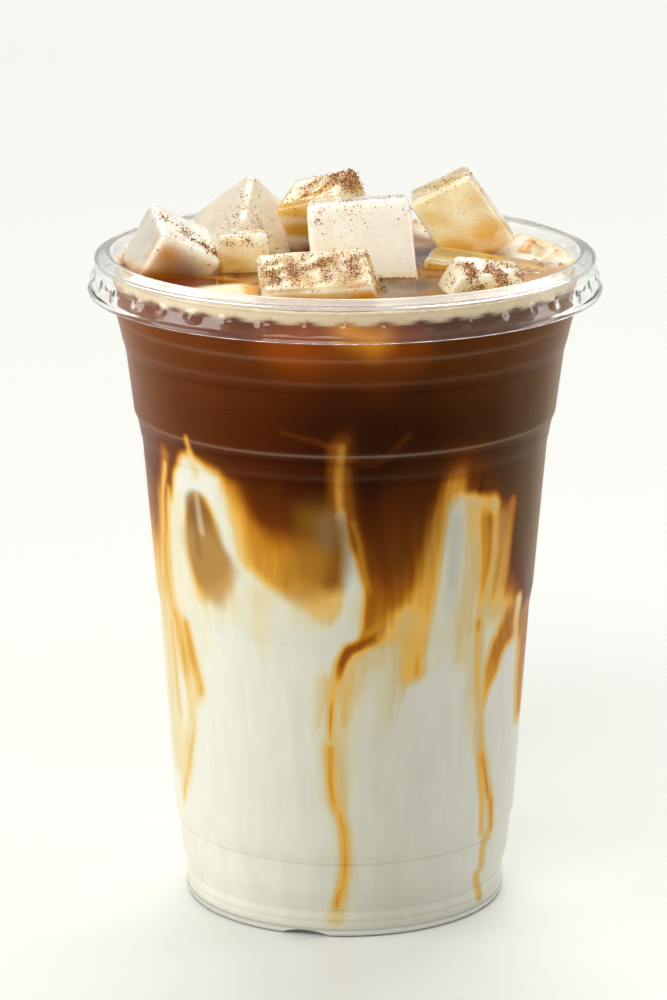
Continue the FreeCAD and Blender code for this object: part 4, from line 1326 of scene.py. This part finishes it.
class LatteStageSettings(bpy.types.PropertyGroup):
    """Board, light and camera."""
    board_colour: picked_colour("Board", "Colour of the board", "#EDEEEA")
    room_colour: picked_colour("Room", "Colour of the room's light", "#FDFFFC")
    light_colour: picked_colour("Light", "Colour of the panels", "#FFFDF9")
    room_strength: amount("Room light", "Strength of the room's light", 0.52)
    key_power: amount("Left panel", "Power of the left panel", 9.0, unit="POWER")
    back_power: amount("Back panel", "Power of the back panel", 75.0, unit="POWER")
    front_power: amount("Front panel", "Power of the front panel", 47.0, unit="POWER")
    side_power: amount("Right panel", "Power of the right panel", 2.0, unit="POWER")
    lens_mm: amount("Lens", "Focal length, mm", 108.1)
    camera_away: length_m("Away", "Camera in front of the cup", 880)
    camera_height: length_m("Height", "Camera above the board", 317.4)
    camera_aside: length_m("Aside", "Camera right of the cup", -2.3)
    camera_dip: amount("Dip", "Camera's look down", math.radians(14.98), unit="ROTATION")


class LatteSettings(bpy.types.PropertyGroup):
    """Every group of settings."""
    cup: bpy.props.PointerProperty(type=LatteCupSettings)
    collar: bpy.props.PointerProperty(type=LatteCollarSettings)
    drink: bpy.props.PointerProperty(type=LatteDrinkSettings)
    ice: bpy.props.PointerProperty(type=LatteIceSettings)
    cocoa: bpy.props.PointerProperty(type=LatteCocoaSettings)
    froth: bpy.props.PointerProperty(type=LatteFrothSettings)
    stage: bpy.props.PointerProperty(type=LatteStageSettings)


# ---------------------------------------------------------------- operators
class LATTE_OT_cup(bpy.types.Operator):
    """Make the clear ribbed cup"""
    bl_idname = "latte.cup"
    bl_label = "Cup"

    def execute(self, context):
        make_cup(context.scene.latte.cup)
        return {"FINISHED"}


class LATTE_OT_collar(bpy.types.Operator):
    """Make the push-fit collar"""
    bl_idname = "latte.collar"
    bl_label = "Collar"

    def execute(self, context):
        make_collar(context.scene.latte.collar)
        return {"FINISHED"}


class LATTE_OT_drink(bpy.types.Operator):
    """Make the milk and coffee and their open surface"""
    bl_idname = "latte.drink"
    bl_label = "Drink"

    def execute(self, context):
        make_drink(context.scene.latte.drink)
        make_drink_surface(context.scene.latte.drink)
        return {"FINISHED"}


class LATTE_OT_ice(bpy.types.Operator):
    """Make the floating blocks of ice"""
    bl_idname = "latte.ice"
    bl_label = "Ice"

    def execute(self, context):
        for name in ICE_NODES:
            make_ice_block(name, context.scene.latte.ice)
        return {"FINISHED"}


class LATTE_OT_cocoa(bpy.types.Operator):
    """Scatter the cocoa on the ice"""
    bl_idname = "latte.cocoa"
    bl_label = "Cocoa"

    def execute(self, context):
        make_cocoa(context.scene.latte.cocoa)
        return {"FINISHED"}


class LATTE_OT_froth(bpy.types.Operator):
    """Set the bubbles on the surface"""
    bl_idname = "latte.froth"
    bl_label = "Froth"

    def execute(self, context):
        make_bubbles(context.scene.latte.froth)
        return {"FINISHED"}


class LATTE_OT_stage(bpy.types.Operator):
    """Set up the board, the lights and the camera"""
    bl_idname = "latte.stage"
    bl_label = "Stage"

    def execute(self, context):
        make_stage(context.scene.latte.stage)
        return {"FINISHED"}


OPERATORS = (
    LATTE_OT_cup, LATTE_OT_collar, LATTE_OT_drink, LATTE_OT_ice,
    LATTE_OT_cocoa, LATTE_OT_froth, LATTE_OT_stage,
)


class LATTE_PT_panel(bpy.types.Panel):
    """Lists the pieces of the drink"""
    bl_idname = "LATTE_PT_panel"
    bl_label = "Iced latte"
    bl_space_type = "VIEW_3D"
    bl_region_type = "UI"
    bl_category = "Iced latte"

    def draw(self, context):
        for operator in OPERATORS:
            self.layout.operator(operator.bl_idname)


CLASSES = (
    LatteCupSettings, LatteCollarSettings, LatteDrinkSettings, LatteIceSettings, LatteCocoaSettings,
    LatteFrothSettings, LatteStageSettings, LatteSettings, *OPERATORS, LATTE_PT_panel,
)


def register():
    """Adds the settings, operators and panel."""
    for item in CLASSES:
        bpy.utils.register_class(item)
    bpy.types.Scene.latte = bpy.props.PointerProperty(type=LatteSettings)


def unregister():
    """Takes them away again."""
    del bpy.types.Scene.latte
    for item in reversed(CLASSES):
        bpy.utils.unregister_class(item)


def main():
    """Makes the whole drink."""
    register()
    bpy.ops.latte.cup()
    bpy.ops.latte.collar()
    bpy.ops.latte.drink()
    bpy.ops.latte.ice()
    bpy.ops.latte.cocoa()
    bpy.ops.latte.froth()
    bpy.ops.latte.stage()


if __name__ == "__main__":
    main()
